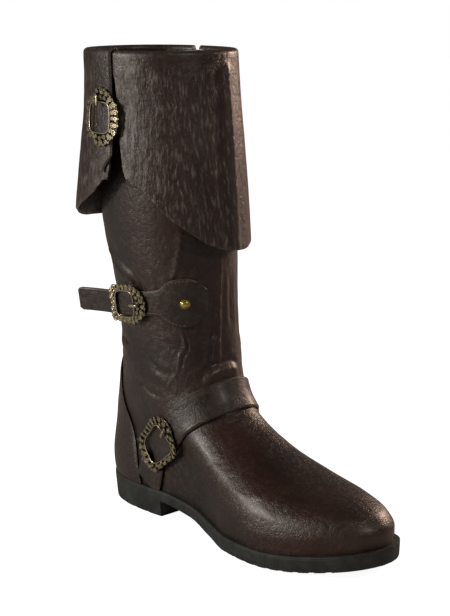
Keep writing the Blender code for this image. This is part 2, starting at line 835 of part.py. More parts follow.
def strap_place(rows, turn):
    """Give a function for points on the outer face of a strap that lies on the skin."""
    level = curve(rows, "turn", "level", turn)
    angle = 2 * math.pi * turn
    step = 0.004
    ahead = skin(curve(rows, "turn", "level", turn + step), angle + 2 * math.pi * step)
    behind = skin(curve(rows, "turn", "level", turn - step), angle - 2 * math.pi * step)
    tangent = (ahead - behind) / np.linalg.norm(ahead - behind)
    side = np.cross(skin_frame(level, angle)[3], tangent)
    base = CLEARANCE + FIT + STRAP_LEATHER + CLEARANCE + BUCKLE_SEAT

    def place(x, y, z):
        spot = slide(level, angle, side * x + tangent * y)
        stand = curve(rows, "turn", "lift", spot[1] / (2 * math.pi)) * STRAP_STAND
        return offset_skin(*spot, base + stand + z)

    return place


def cuff_place(turn, drop):
    """Give a function for points on the outer face of the cuff's strap."""
    base = CLEARANCE + FIT / 2 + STRAP_LEATHER + CLEARANCE + BUCKLE_SEAT

    def place(x, y, z):
        down = drop - y
        at = turn + x / CUFF_GIRTH
        return cuff_point(at, down, cuff_face(at, down) + base + z)

    return place


def make_buckles(finish):
    """Make the three buckles with their prongs."""
    calf = strap_place(CALF_STRAP, CALF_BUCKLE_TURN)
    make_buckle(calf, CALF_RIM, CALF_OPENING_ACROSS, CALF_OPENING_LENGTH, finish, "calf")
    ankle = strap_place(ANKLE_STRAP, ANKLE_BUCKLE_TURN)
    make_buckle(ankle, ANKLE_RIM, ANKLE_OPENING_ACROSS, ANKLE_OPENING_LENGTH, finish, "ankle")
    cuff = cuff_place(CUFF_STRAP_TURN - CUFF_BUCKLE_SHIFT / CUFF_GIRTH, CUFF_BUCKLE_DROP)
    make_buckle(cuff, CUFF_RIM, CUFF_OPENING_ACROSS, CUFF_OPENING_LENGTH, finish, "cuff")


def make_snap(finish):
    """Make the snap's domed cap on the calf strap's round end."""
    place = strap_place(CALF_STRAP, SNAP_TURN)
    rings = []
    for share, rise in ((1.0, 0.0), (1.0, 0.35), (0.72, 0.8), (0.3, 1.0)):
        ring = []
        for index in range(16):
            turn = 2 * math.pi * index / 16
            reach = SNAP_RADIUS * share
            height = SNAP_HEIGHT * rise - BUCKLE_SEAT
            ring.append(place(reach * math.cos(turn), reach * math.sin(turn), height))
        rings.append(ring)
    points, faces = loft(rings)
    add_object("snap_stud", points, faces, finish)


def main():
    """Build the boot."""
    for old in list(bpy.data.objects):
        bpy.data.objects.remove(old, do_unlink=True)
    leather = material("leather", (0.035, 0.020, 0.015), 0.5)
    rubber = material("rubber", (0.018, 0.020, 0.018), 0.7)
    lining = material("lining", (0.10, 0.07, 0.05), 0.8)
    brass = material("antique_brass", (0.30, 0.22, 0.08), 0.4, 1.0)
    make_upper(leather)
    make_outsole(rubber)
    make_insole(lining)
    make_counter(leather)
    make_cuff(leather)
    make_cuff_strap(leather)
    make_calf_strap(leather)
    make_ankle_straps(leather)
    make_buckles(brass)
    make_snap(brass)


main()
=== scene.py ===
"""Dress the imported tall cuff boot: leather, cast buckles, moulded rubber, floor, lights, camera."""
import sys
import logging
import math
from dataclasses import dataclass, field, replace
from enum import Enum
from typing import Callable, Sequence

import bmesh
import bpy
import numpy as np
from bpy.types import Material, Mesh, Node, NodeSocket, NodeTree, Object
from mathutils import Matrix, Vector, noise


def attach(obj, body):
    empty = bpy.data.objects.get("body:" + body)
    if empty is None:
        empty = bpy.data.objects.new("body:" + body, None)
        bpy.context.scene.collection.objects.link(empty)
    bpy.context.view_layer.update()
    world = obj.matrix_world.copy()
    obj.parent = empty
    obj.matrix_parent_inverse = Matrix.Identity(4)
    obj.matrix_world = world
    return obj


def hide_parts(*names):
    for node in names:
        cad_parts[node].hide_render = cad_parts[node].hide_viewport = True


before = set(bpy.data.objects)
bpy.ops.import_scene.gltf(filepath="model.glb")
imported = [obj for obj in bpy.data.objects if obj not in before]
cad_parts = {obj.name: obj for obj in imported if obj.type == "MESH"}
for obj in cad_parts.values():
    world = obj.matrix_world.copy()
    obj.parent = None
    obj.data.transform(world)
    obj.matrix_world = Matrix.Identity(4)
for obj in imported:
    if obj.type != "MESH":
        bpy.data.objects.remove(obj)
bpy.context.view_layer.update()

Lay = Callable[[np.ndarray], np.ndarray]
Values = np.ndarray | float
LOG = logging.getLogger("boot")
MM = 0.001
BODY = "root"
# The gap that keeps pieces apart, the slack of a layer on the leather, and a buckle's lift off its strap.
CLEARANCE = 0.3 * MM
FIT = 0.7 * MM
BUCKLE_SEAT = 0.5 * MM
STRAP_LEATHER = 2.4 * MM


def linear(code: str) -> tuple[float, float, float, float]:
    """Turn an sRGB hex value into a linear colour.

    Args:
        code: six hex digits after a hash sign.

    Returns:
        Red, green, blue and alpha for a shader socket.
    """
    parts = [int(code[index:index + 2], 16) / 255 for index in (1, 3, 5)]
    rgb = [part / 12.92 if part <= 0.04045 else ((part + 0.055) / 1.055) ** 2.4 for part in parts]
    return (rgb[0], rgb[1], rgb[2], 1.0)


def node(
    tree: NodeTree, kind: str, settings: dict | None = None, **links: object
) -> Node:
    """Add a node, set its properties, and set or link its inputs.

    Args:
        tree: the node tree to add to.
        kind: the node's type name.
        settings: properties of the node itself.
        links: inputs by name, with spaces as underscores; a socket is linked, a value is set.

    Returns:
        The new node.
    """
    made = tree.nodes.new(kind)
    for name, value in (settings or {}).items():
        setattr(made, name, value)
    for name, value in links.items():
        label = name.replace("_", " ")
        socket = made.inputs[int(name[1:])] if name[0] == "i" and name[1:].isdigit() else made.inputs[label]
        if isinstance(value, NodeSocket):
            tree.links.new(value, socket)
        else:
            socket.default_value = value
    return made


class Table:
    """A short table with named columns, read as smooth curves."""

    def __init__(self, columns: str, *rows: Sequence[float]) -> None:
        """Keep the rows by column name."""
        self.names = columns.split()
        self.rows = np.array(rows, dtype=float)

    def column(self, name: str) -> np.ndarray:
        """Give one column."""
        return self.rows[:, self.names.index(name)]

    def read(self, name: str, at: Values) -> np.ndarray:
        """Read a column at values of the first column.

        Args:
            name: the column to read.
            at: values of the table's first column.

        Returns:
            The smooth curve's values, held at both ends.
        """
        xs, ys = self.rows[:, 0], self.column(name)
        steps = np.diff(ys) / np.diff(xs)
        slope = np.concatenate(([steps[0]], np.zeros(len(xs) - 2), [steps[-1]]))
        before, after = steps[:-1], steps[1:]
        rising = before * after > 0
        total = np.where(rising, before + after, 1.0)
        slope[1:-1] = np.where(rising, 2 * before * after / total, 0.0)
        at = np.clip(at, xs[0], xs[-1])
        low = np.clip(np.searchsorted(xs, at, side="right") - 1, 0, len(xs) - 2)
        span = xs[low + 1] - xs[low]
        t = (at - xs[low]) / span
        start = (2 * t**3 - 3 * t**2 + 1) * ys[low] + (t**3 - 2 * t**2 + t) * span * slope[low]
        end = (3 * t**2 - 2 * t**3) * ys[low + 1] + (t**3 - t**2) * span * slope[low + 1]
        return start + end


# The sole's outline: half widths as shares of the ball's width, by share of the sole's length.
OUTLINE = Table(
    "station lateral medial",
    (0.000, 0.045, 0.045), (0.012, 0.165, 0.160), (0.040, 0.262, 0.255), (0.085, 0.332, 0.318),
    (0.150, 0.370, 0.345), (0.220, 0.376, 0.343), (0.300, 0.360, 0.315), (0.400, 0.362, 0.280),
    (0.500, 0.420, 0.295), (0.600, 0.500, 0.360), (0.690, 0.526, 0.440), (0.770, 0.498, 0.478),
    (0.840, 0.436, 0.474), (0.900, 0.350, 0.430), (0.945, 0.262, 0.364), (0.975, 0.170, 0.276),
    (0.992, 0.080, 0.190), (1.000, 0.000, 0.110),
)
# The sole from the side: shares of the seat's rise, of the arch and of the toe spring.
PROFILE = Table(
    "station seat arch spring",
    (0.00, 1.00, 1.00, 0.00), (0.20, 1.00, 1.00, 0.00), (0.30, 0.97, 0.98, 0.00),
    (0.40, 0.72, 0.72, 0.00), (0.50, 0.28, 0.26, 0.00), (0.58, 0.03, 0.00, 0.00),
    (0.66, 0.00, 0.00, 0.00), (0.72, 0.00, 0.00, 0.00), (0.80, 0.00, 0.00, 0.14),
    (0.88, 0.00, 0.00, 0.42), (0.95, 0.00, 0.00, 0.74), (1.00, 0.00, 0.00, 1.00),
)
# The leather by level: its ends, its half widths, and how far its outline is oval instead of the sole's.
SECTIONS = Table(
    "level back front lateral medial oval spread full",
    (0.000, 0.004, 0.987, 0.40, 0.40, 0.00, 1.000, 2.2),
    (0.100, -0.003, 0.988, 0.42, 0.41, 0.02, 1.015, 2.2),
    (0.210, -0.006, 0.964, 0.42, 0.40, 0.10, 0.995, 2.2),
    (0.314, -0.004, 0.900, 0.42, 0.36, 0.22, 0.940, 2.2),
    (0.400, -0.001, 0.800, 0.41, 0.33, 0.38, 0.870, 2.2),
    (0.480, 0.004, 0.695, 0.40, 0.31, 0.54, 0.820, 2.2),
    (0.573, 0.011, 0.598, 0.40, 0.31, 0.70, 0.790, 2.2),
    (0.680, 0.022, 0.520, 0.40, 0.32, 0.85, 0.790, 2.2),
    (0.830, 0.036, 0.462, 0.40, 0.35, 0.96, 0.790, 2.2),
    (1.000, 0.047, 0.431, 0.41, 0.39, 1.00, 0.790, 2.2),
    (1.160, 0.050, 0.416, 0.42, 0.41, 1.00, 0.790, 2.2),
    (1.290, 0.048, 0.403, 0.43, 0.42, 1.00, 0.790, 2.2),
    (1.450, 0.027, 0.394, 0.46, 0.45, 1.00, 0.790, 2.2),
    (1.560, 0.002, 0.388, 0.49, 0.48, 1.00, 0.790, 2.2),
    (1.750, -0.026, 0.384, 0.52, 0.51, 1.00, 0.790, 2.2),
    (2.000, -0.048, 0.361, 0.54, 0.53, 1.00, 0.790, 2.2),
)
# The cuff: how far it stands out by drop, its hem by turn, and its slit's two edges by drop.
FLARE = Table("drop out", (0.00, 0.00), (0.20, 0.08), (0.50, 0.38), (0.80, 0.78), (1.00, 1.00))
HEM = Table(
    "turn drop",
    (-0.200, 0.860), (-0.120, 0.890), (-0.040, 0.900), (0.060, 0.885), (0.125, 0.830), (0.186, 0.750),
    (0.244, 0.655), (0.262, 0.625), (0.306, 0.630), (0.330, 0.665), (0.353, 0.716), (0.383, 0.800),
    (0.414, 0.864), (0.450, 0.935), (0.500, 0.985), (0.555, 1.000), (0.610, 0.985), (0.690, 0.930),
    (0.800, 0.860),
)
SLIT = Table(
    "drop behind before",
    (0.080, 0.2660, 0.2800), (0.350, 0.2640, 0.2860), (0.560, 0.2625, 0.2960), (0.610, 0.2600, 0.3030),
    (0.700, 0.2500, 0.3200),
)
# The counter: half its turn round the heel, by level.
COUNTER = Table(
    "level turn",
    (0.00, 0.146), (0.30, 0.144), (0.50, 0.148), (0.66, 0.138), (0.85, 0.110), (0.98, 0.076),
    (1.07, 0.044), (1.10, 0.012),
)
# Each strap by turn: the level of its middle, its breadth, and how far it stands off.
CALF_STRAP = Table(
    "turn level breadth lift",
    (0.160, 1.347, 1.00, 1.00), (0.185, 1.347, 1.00, 0.52), (0.215, 1.350, 1.00, 0.14),
    (0.250, 1.355, 1.00, 0.00), (0.300, 1.367, 1.00, 0.00), (0.330, 1.372, 1.10, 0.00),
    (0.350, 1.374, 1.55, 0.00), (0.370, 1.375, 1.86, 0.00), (0.395, 1.374, 2.00, 0.00),
    (0.420, 1.372, 1.86, 0.00), (0.440, 1.370, 1.50, 0.00), (0.452, 1.367, 1.05, 0.00),
    (0.459, 1.366, 0.50, 0.00),
)
ANKLE_STRAP = Table(
    "turn level breadth lift",
    (0.176, 0.280, 0.40, 0.00), (0.182, 0.310, 0.90, 0.00), (0.194, 0.370, 1.00, 0.00),
    (0.230, 0.475, 1.00, 0.00), (0.278, 0.585, 1.00, 0.00), (0.325, 0.690, 1.00, 0.00),
    (0.369, 0.765, 1.00, 0.00), (0.430, 0.830, 1.00, 0.00), (0.495, 0.860, 1.00, 0.00),
    (0.560, 0.835, 1.00, 0.00), (0.625, 0.765, 1.00, 0.00), (0.680, 0.640, 1.00, 0.00),
    (0.725, 0.470, 1.00, 0.00), (0.765, 0.260, 1.00, 0.00), (0.795, 0.030, 1.00, 0.00),
)
ANKLE_TAB = Table(
    "turn level breadth lift",
    (0.160, 0.030, 1.00, 0.00), (0.165, 0.120, 1.00, 0.00), (0.172, 0.235, 0.96, 0.00),
)
# Each buckle's rim: its reach as a share of half the opening's width.
CUFF_RIM = Table(
    "degrees reach",
    (0, 1.68), (25, 1.76), (42, 1.76), (55, 1.80), (75, 1.96), (90, 1.96), (101, 1.80), (112, 1.34),
    (135, 1.57), (155, 1.36), (180, 1.26), (205, 1.36), (225, 1.54), (247, 1.30), (258, 1.72),
    (272, 1.84), (288, 1.86), (305, 1.80), (325, 1.76), (345, 1.72), (360, 1.68),
)
CALF_RIM = Table(
    "degrees reach",
    (0, 1.43), (28, 1.61), (55, 1.87), (75, 2.02), (90, 2.06), (105, 2.02), (125, 1.87), (152, 1.61),
    (180, 1.32), (210, 1.50), (228, 1.70), (250, 1.30), (270, 1.16), (290, 1.30), (312, 1.70),
    (330, 1.61), (360, 1.43),
)
ANKLE_RIM = Table(
    "degrees reach",
    (0, 1.42), (30, 1.60), (50, 1.92), (70, 2.16), (90, 2.28), (110, 2.16), (130, 1.92), (150, 1.60),
    (180, 1.38), (205, 1.50), (230, 1.92), (250, 1.82), (270, 1.74), (290, 1.82), (310, 1.92),
    (335, 1.50), (360, 1.42),
)


def mix(low: Values, high: Values, share: Values) -> Values:
    """Blend two values."""
    return low + (high - low) * share


def smooth(low: float, high: float, value: np.ndarray) -> np.ndarray:
    """Rise softly from 0 at low to 1 at high."""
    share = np.clip((value - low) / (high - low), 0.0, 1.0)
    return share * share * (3 - 2 * share)


@dataclass(frozen=True)
class Last:
    """The surface that the leather takes, and the sole's own profile, from the boot's sizes."""

    sole_length: float = 305 * MM
    ball_width: float = 105 * MM
    heel_length: float = 84 * MM
    seat_height: float = 24 * MM
    sole_thickness: float = 13 * MM
    waist_thickness: float = 10 * MM
    toe_spring: float = 11 * MM
    sole_margin: float = 3 * MM
    tip_rounding: float = 0.08
    instep_height: float = 130 * MM
    shaft_top: float = 392.5 * MM

    def along(self, station: Values) -> Values:
        """Give the y of a share of the sole's length from the heel's back."""
        return self.heel_length / 2 - station * self.sole_length

    def sole_top(self, station: Values) -> np.ndarray:
        """Give the height of the sole's top face."""
        seat = PROFILE.read("seat", station) * (self.seat_height - self.sole_thickness)
        return self.sole_thickness + seat + PROFILE.read("spring", station) * self.toe_spring

    def sole_underside(self, station: Values) -> np.ndarray:
        """Give the height of the sole's underside in front of the heel."""
        arch = PROFILE.read("arch", station) * (self.seat_height - self.waist_thickness)
        return arch + PROFILE.read("spring", station) * self.toe_spring

    @property
    def rate(self) -> float:
        """How fast the shaft's levels rise at the instep."""
        return (self.instep_height - self.seat_height) / (self.shaft_top - self.instep_height)

    def level_at(self, height: Values) -> np.ndarray:
        """Give the level of a height on the shaft."""
        share = (height - self.instep_height) / (self.shaft_top - self.instep_height)
        root = np.sqrt(self.rate**2 + 4 * (1 - self.rate) * np.maximum(share, 0.0))
        return 1 + (root - self.rate) / (2 * (1 - self.rate))

    def skin(self, level: Values, angle: Values) -> np.ndarray:
        """Give points of the leather's outer face.

        Args:
            level: 0 at the sole's top, 1 at the instep, 2 at the shaft's top.
            angle: 0 at the back, pi at the front, the lateral side between them.

        Returns:
            Points in metres, with x, y and z along the last axis.
        """
        level, angle = np.broadcast_arrays(np.asarray(level, float), np.asarray(angle, float))
        lateral_side = np.sin(angle) >= 0
        sign = np.where(lateral_side, -1.0, 1.0)
        share = (1 - np.cos(angle)) / 2
        station = mix(SECTIONS.read("back", level), SECTIONS.read("front", level), share)
        lateral = OUTLINE.read("lateral", share) * self.ball_width
        medial = OUTLINE.read("medial", share) * self.ball_width
        ends = np.sin(np.pi / 2 * np.minimum(1.0, np.abs(np.sin(angle)) / self.tip_rounding))
        half = (lateral + medial) / 2 * SECTIONS.read("spread", level) - self.sole_margin
        low = sign * np.maximum(0.0, half) * ends + (medial - lateral) / 2
        reach = np.where(lateral_side, SECTIONS.read("lateral", level), SECTIONS.read("medial", level))
        full = SECTIONS.read("full", level)
        round_share = np.maximum(0.0, 1 - np.abs(2 * share - 1) ** full) ** (1 / full)
        high = sign * reach * self.ball_width * round_share
        rise = level - 1
        shaft = mix(self.instep_height, self.shaft_top, self.rate * rise + (1 - self.rate) * rise**2)
        foot = mix(self.sole_top(station), self.instep_height, level)
        height = np.where(level < 1, foot, shaft)
        x = mix(low, high, SECTIONS.read("oval", level))
        return np.stack((x, self.along(station), height), axis=-1)

    def slopes(self, level: Values, angle: Values) -> tuple[np.ndarray, ...]:
        """Give the slopes by level and by angle, and the outward normal."""
        step = 0.004
        low, high = np.maximum(0.0, level - step), np.minimum(2.0, level + step)
        span = np.asarray(high - low)[..., None]
        by_level = (self.skin(high, angle) - self.skin(low, angle)) / span
        by_angle = (self.skin(level, angle + step) - self.skin(level, angle - step)) / (2 * step)
        normal = np.cross(by_angle, by_level)
        return by_level, by_angle, normal / np.linalg.norm(normal, axis=-1, keepdims=True)

    def outside(self, level: np.ndarray, angle: np.ndarray, distance: Values) -> np.ndarray:
        """Give points at a distance outside the leather's outer face."""
        reach = np.asarray(distance, float)
        return self.skin(level, angle) + self.slopes(level, angle)[2] * reach[..., None]

    def slide(self, level: np.ndarray, angle: np.ndarray, move: np.ndarray) -> tuple[np.ndarray, ...]:
        """Slide over the skin from points.

        Args:
            level: levels to start from.
            angle: angles to start from.
            move: how far to go, in metres.

        Returns:
            The levels and angles reached.
        """
        steps = 4
        for _ in range(steps):
            by_level, by_angle, _ = self.slopes(level, angle)
            part = move / steps
            aa = (by_level * by_level).sum(-1)
            ab = (by_level * by_angle).sum(-1)
            bb = (by_angle * by_angle).sum(-1)
            pa = (by_level * part).sum(-1)
            pb = (by_angle * part).sum(-1)
            scale = np.maximum(aa * bb - ab * ab, 1e-12)
            level = np.clip(level + (pa * bb - pb * ab) / scale, 0.0, 2.0)
            angle = angle + (pb * aa - pa * ab) / scale
        return level, angle

    def above_sole(self, points: np.ndarray) -> np.ndarray:
        """Lift points that would reach into the sole."""
        floor = self.sole_top((self.heel_length / 2 - points[..., 1]) / self.sole_length) + CLEARANCE
        lifted = points.copy()
        lifted[..., 2] = np.maximum(points[..., 2], floor)
        return lifted

    def spot(self, height: float, degrees: float) -> tuple[float, float]:
        """Give the level and angle of a height in millimetres on the line at an angle."""
        levels = np.linspace(0.0, 2.0, 801)
        angle = math.radians(degrees)
        heights = self.skin(levels, angle)[:, 2]
        return float(np.interp(height * MM, heights, levels)), angle

    def even_levels(self, low: float, high: float, stops: int) -> np.ndarray:
        """Give levels spaced evenly along the boot's front and back lines."""
        fine = np.linspace(low, high, 801)
        ahead = np.linalg.norm(np.diff(self.skin(fine, math.pi), axis=0), axis=1)
        behind = np.linalg.norm(np.diff(self.skin(fine, 0.0), axis=0), axis=1)
        length = np.concatenate(([0.0], np.cumsum(0.6 * ahead + 0.4 * behind)))
        return np.interp(np.linspace(0.0, length[-1], stops + 1), length, fine)


def grid_faces(rows: int, columns: int, closed_rows: bool = False, closed_columns: bool = False) -> list:
    """Give the quads of a grid of points in row order.

    Args:
        rows: how many rows of points.
        columns: how many points a row has.
        closed_rows: join the last row to the first.
        closed_columns: join each row's last point to its first.

    Returns:
        The faces as tuples of point numbers.
    """
    row = np.arange(rows if closed_rows else rows - 1)[:, None]
    column = np.arange(columns if closed_columns else columns - 1)[None, :]
    after, beside = (row + 1) % rows, (column + 1) % columns
    here, next_row = row * columns, after * columns
    corners = [here + column, here + beside, next_row + beside, next_row + column]
    stacked = np.stack([corner + 0 * row + 0 * column for corner in corners], axis=-1)
    return [tuple(face) for face in stacked.reshape(-1, 4).tolist()]


def capped(rows: int, columns: int) -> list:
    """Give the faces of a closed body whose rows are rings, with both ends filled."""
    ends = [tuple(reversed(range(columns))), tuple(range((rows - 1) * columns, rows * columns))]
    return grid_faces(rows, columns, closed_columns=True) + ends


@dataclass(frozen=True)
class Dressing:
    """What a finished piece is dressed with: its finish and the solids it stands for; the slot is kept here
    and not given to the piece.
    """

    finish: Material
    slot: str
    replaces: tuple[str, ...] = ()
    sharp: float = 50.0


def add_piece(
    name: str,
    points: np.ndarray,
    faces: list,
    dressing: Dressing,
    marks: dict[str, np.ndarray] | None = None,
    uv: np.ndarray | None = None,
) -> Object:
    """Make a finished piece from points and faces.

    Args:
        name: the piece's name.
        points: its points in metres.
        faces: its faces.
        dressing: finish, slot and solids.
        marks: numbers for each point that its finish reads.
        uv: a pair for each point, in metres along and across.

    Returns:
        The object, which rides on the boot.
    """
    mesh = bpy.data.meshes.new(name)
    mesh.from_pydata(points.reshape(-1, 3).tolist(), [], faces)
    for label, values in (marks or {}).items():
        layer = mesh.attributes.new(label, "FLOAT", "POINT")
        layer.data.foreach_set("value", np.asarray(values, float).ravel())
    if uv is not None:
        corner = np.empty(len(mesh.loops), dtype=np.int32)
        mesh.loops.foreach_get("vertex_index", corner)
        mesh.uv_layers.new(name="surface").data.foreach_set("uv", uv.reshape(-1, 2)[corner].ravel())
    shell = bmesh.new()
    shell.from_mesh(mesh)
    bmesh.ops.remove_doubles(shell, verts=shell.verts, dist=0.000004)
    bmesh.ops.recalc_face_normals(shell, faces=shell.faces)
    shell.to_mesh(mesh)
    shell.free()
    return dress(name, mesh, dressing)


def dress(name: str, mesh: Mesh, dressing: Dressing) -> Object:
    """Turn a mesh into a finished piece that rides on the boot."""
    mesh.shade_smooth()
    mesh.set_sharp_from_angle(angle=math.radians(dressing.sharp))
    mesh.materials.clear()
    mesh.materials.append(dressing.finish)
    made = bpy.data.objects.new(name, mesh)
    bpy.context.scene.collection.objects.link(made)
    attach(made, BODY)
    if dressing.replaces:
        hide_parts(*dressing.replaces)
    LOG.info("%s: %d faces", name, len(mesh.polygons))
    return made


class Form(Enum):
    """The kinds of mark that leather takes."""

    TROUGH = "trough"
    RIDGE = "ridge"
    PUCKER = "pucker"
    OVERLAY = "overlay"


@dataclass(frozen=True)
class Crease:
    """One mark in the leather: heights in millimetres and angles in degrees along it."""

    form: Form
    line: tuple[tuple[float, float], ...]
    width: float
    depth: float

    def path(self, last: Last) -> np.ndarray:
        """Give the mark's points on the skin, close together."""
        spots = np.array([last.spot(*pair) for pair in self.line])
        share = np.linspace(0.0, len(spots) - 1.0, 8 * (len(spots) - 1) + 1)
        marks = Table("at level angle", *[(index, *spot) for index, spot in enumerate(spots)])
        return last.skin(marks.read("level", share), marks.read("angle", share))

    def rise(self, last: Last, points: np.ndarray, normals: np.ndarray) -> np.ndarray:
        """Give how far the mark lifts each point.

        Args:
            last: the surface that the mark is on.
            points: points of the leather.
            normals: its outward directions there.

        Returns:
            A height in metres for each point.
        """
        path = self.path(last)
        width, depth = self.width * MM, self.depth * MM
        reach = width * (9 if self.form is Form.OVERLAY else 4)
        near = ((points > path.min(0) - reach) & (points < path.max(0) + reach)).all(axis=1)
        made = np.zeros(len(points))
        chosen = np.flatnonzero(near)
        if not len(chosen):
            return made
        spots, facing = points[chosen], normals[chosen]
        best = np.full(len(chosen), 1e9)
        side = np.zeros(len(chosen))
        place = np.zeros(len(chosen))
        for index, (start, end) in enumerate(zip(path[:-1], path[1:])):
            run = end - start
            share = np.clip(((spots - start) @ run) / (run @ run), 0.0, 1.0)
            away = spots - start - share[:, None] * run
            distance = np.linalg.norm(away, axis=1)
            closer = distance < best
            best = np.where(closer, distance, best)
            signed = (np.cross(run, facing) * away).sum(1)
            side = np.where(closer, np.sign(signed), side)
            place = np.where(closer, (index + share) / (len(path) - 1), place)
        near_end = smooth(0.0, 0.22, place) * smooth(0.0, 0.22, 1.0 - place)
        across = best / width
        if self.form is Form.RIDGE:
            shape = np.exp(-(across**2)) * near_end
        elif self.form is Form.PUCKER:
            shape = 1.6 * side * across * np.exp(-(across**2)) * near_end
        elif self.form is Form.OVERLAY:
            step = np.where(side > 0, 1.0, 0.0) * smooth(0.0, 0.4, across) * np.exp(-((across / 5) ** 2))
            shape = step * smooth(0.0, 0.05, place) * smooth(0.0, 0.05, 1.0 - place)
        else:
            lips = np.exp(-((across - 1.7) ** 2))
            shape = (-np.exp(-(across**2)) + 0.45 * lips) * near_end
        made[chosen] = shape * depth
        return made


TROUGH, RIDGE, PUCKER, OVERLAY = Form
# Each mark: its form, heights in millimetres with angles in degrees, then its width and depth.
CREASES = (
    Crease(OVERLAY, ((251, 148), (234, 144), (220, 140), (210, 134)), 0.8, 1.4),
    Crease(RIDGE, ((233, 52), (223, 66), (215, 82), (208, 94)), 2.2, 1.6),
    Crease(TROUGH, ((226, 50), (217, 66), (208, 82), (201, 94)), 2.4, 0.8),
    Crease(RIDGE, ((172, 136), (156, 138), (148, 132), (130, 126)), 0.9, 1.1),
    Crease(TROUGH, ((170, 139), (154, 141), (146, 135), (129, 129)), 1.0, 0.8),
    Crease(RIDGE, ((132, 126), (124, 118), (116, 110)), 0.9, 0.9),
    Crease(RIDGE, ((132, 126), (120, 122), (112, 118)), 1.1, 0.6),
    Crease(RIDGE, ((233, 182), (205, 180), (170, 176), (146, 172), (133, 170)), 1.4, 1.5),
    Crease(TROUGH, ((205, 174), (170, 170), (140, 164)), 2.6, 0.8),
    Crease(RIDGE, ((121, 146), (132, 166), (133, 182), (127, 196)), 3.6, 2.2),
    Crease(TROUGH, ((128, 144), (139, 164), (141, 182), (136, 198)), 2.6, 1.4),
    Crease(TROUGH, ((158, 164), (148, 162), (138, 158)), 1.6, 1.1),
    Crease(RIDGE, ((164, 170), (152, 167), (140, 164)), 1.4, 1.1),
    Crease(TROUGH, ((160, 118), (152, 128), (149, 138)), 2.2, 0.5),
    Crease(TROUGH, ((142, 96), (133, 108), (128, 120)), 2.8, 0.5),
    Crease(RIDGE, ((135, 92), (127, 104), (121, 116)), 2.8, 0.5),
    Crease(TROUGH, ((118, 78), (112, 92), (109, 104)), 2.4, 0.8),
    Crease(TROUGH, ((182, 60), (176, 76), (177, 90)), 3.0, 0.9),
    Crease(RIDGE, ((175, 58), (168, 74), (169, 90)), 3.0, 0.9),
    Crease(TROUGH, ((160, 40), (152, 56), (150, 72)), 3.0, 1.0),
    Crease(RIDGE, ((150, 40), (143, 56), (141, 70)), 3.0, 0.9),
    Crease(TROUGH, ((136, 30), (128, 46), (126, 60)), 2.6, 0.9),
    Crease(PUCKER, ((199, 150), (178, 153), (160, 152)), 2.6, 0.7),
    Crease(PUCKER, ((206, 160), (184, 163), (163, 160)), 2.6, 0.7),
    Crease(PUCKER, ((214, 190), (190, 190), (166, 188)), 3.0, 0.8),
    Crease(PUCKER, ((218, 204), (190, 204), (160, 200)), 3.0, 0.8),
    Crease(PUCKER, ((190, 216), (166, 214), (146, 210)), 3.0, 0.8),
    Crease(PUCKER, ((222, 112), (206, 116), (190, 112)), 3.4, 0.6),
    Crease(TROUGH, ((160, 222), (150, 236), (148, 250)), 3.0, 1.0),
    Crease(RIDGE, ((150, 222), (141, 238), (139, 254)), 3.0, 0.9),
    Crease(TROUGH, ((134, 228), (126, 244), (124, 260)), 2.6, 0.9),
    Crease(TROUGH, ((180, 240), (172, 258), (174, 278)), 3.2, 0.9),
    Crease(RIDGE, ((168, 246), (160, 262), (162, 280)), 3.2, 0.8),
    Crease(TROUGH, ((146, 280), (138, 298), (138, 316)), 3.0, 1.0),
    Crease(RIDGE, ((137, 284), (129, 300), (130, 318)), 3.0, 0.9),
    Crease(TROUGH, ((128, 330), (124, 346), (126, 360)), 2.8, 0.8),
    Crease(RIDGE, ((226, 262), (208, 270), (196, 276)), 3.0, 0.7),
    Crease(RIDGE, ((63, 64), (60, 50), (61, 40)), 1.4, 0.4),
)


def drift(points: np.ndarray, size: float, seed: float) -> np.ndarray:
    """Give slow random values between about -1 and 1 over points.

    Args:
        points: points in metres.
        size: how far apart the swells are, in metres.
        seed: shifts the pattern.

    Returns:
        A value for each point.
    """
    shift = Vector((seed, 2 * seed, 3 * seed))
    flat = points.reshape(-1, 3) / size
    values = np.array([noise.noise(Vector(point) + shift) for point in flat.tolist()])
    return values.reshape(points.shape[:-1])


def reckon(tree: NodeTree, operation: str, *values: object) -> NodeSocket:
    """Give the result of a maths node on values or sockets."""
    inputs = {f"i{index}": value for index, value in enumerate(values)}
    return node(tree, "ShaderNodeMath", {"operation": operation}, **inputs).outputs[0]


def stretched(
    tree: NodeTree, value: NodeSocket, low: float, high: float
) -> NodeSocket:
    """Stretch a range of values to run from 0 to 1."""
    return node(tree, "ShaderNodeMapRange", None, Value=value, From_Min=low, From_Max=high).outputs[0]


def carried(tree: NodeTree, name: str) -> NodeSocket:
    """Read a number that every point of the piece carries."""
    return node(tree, "ShaderNodeAttribute", {"attribute_name": name}).outputs["Fac"]


def cloud(
    tree: NodeTree, place: NodeSocket, scale: float, detail: float, roughness: float = 0.5
) -> NodeSocket:
    """Give a soft random pattern by how many swells it has in a metre."""
    made = node(
        tree, "ShaderNodeTexNoise", None, Vector=place, Scale=scale, Detail=detail, Roughness=roughness
    )
    return made.outputs["Fac"]


def raised(
    tree: NodeTree,
    height: NodeSocket,
    distance: float,
    strength: float,
    under: NodeSocket | None = None,
) -> NodeSocket:
    """Raise a pattern from the surface, on top of the relief under it."""
    links = {} if under is None else {"Normal": under}
    made = node(tree, "ShaderNodeBump", None, Strength=strength, Distance=distance, Height=height, **links)
    return made.outputs[0]


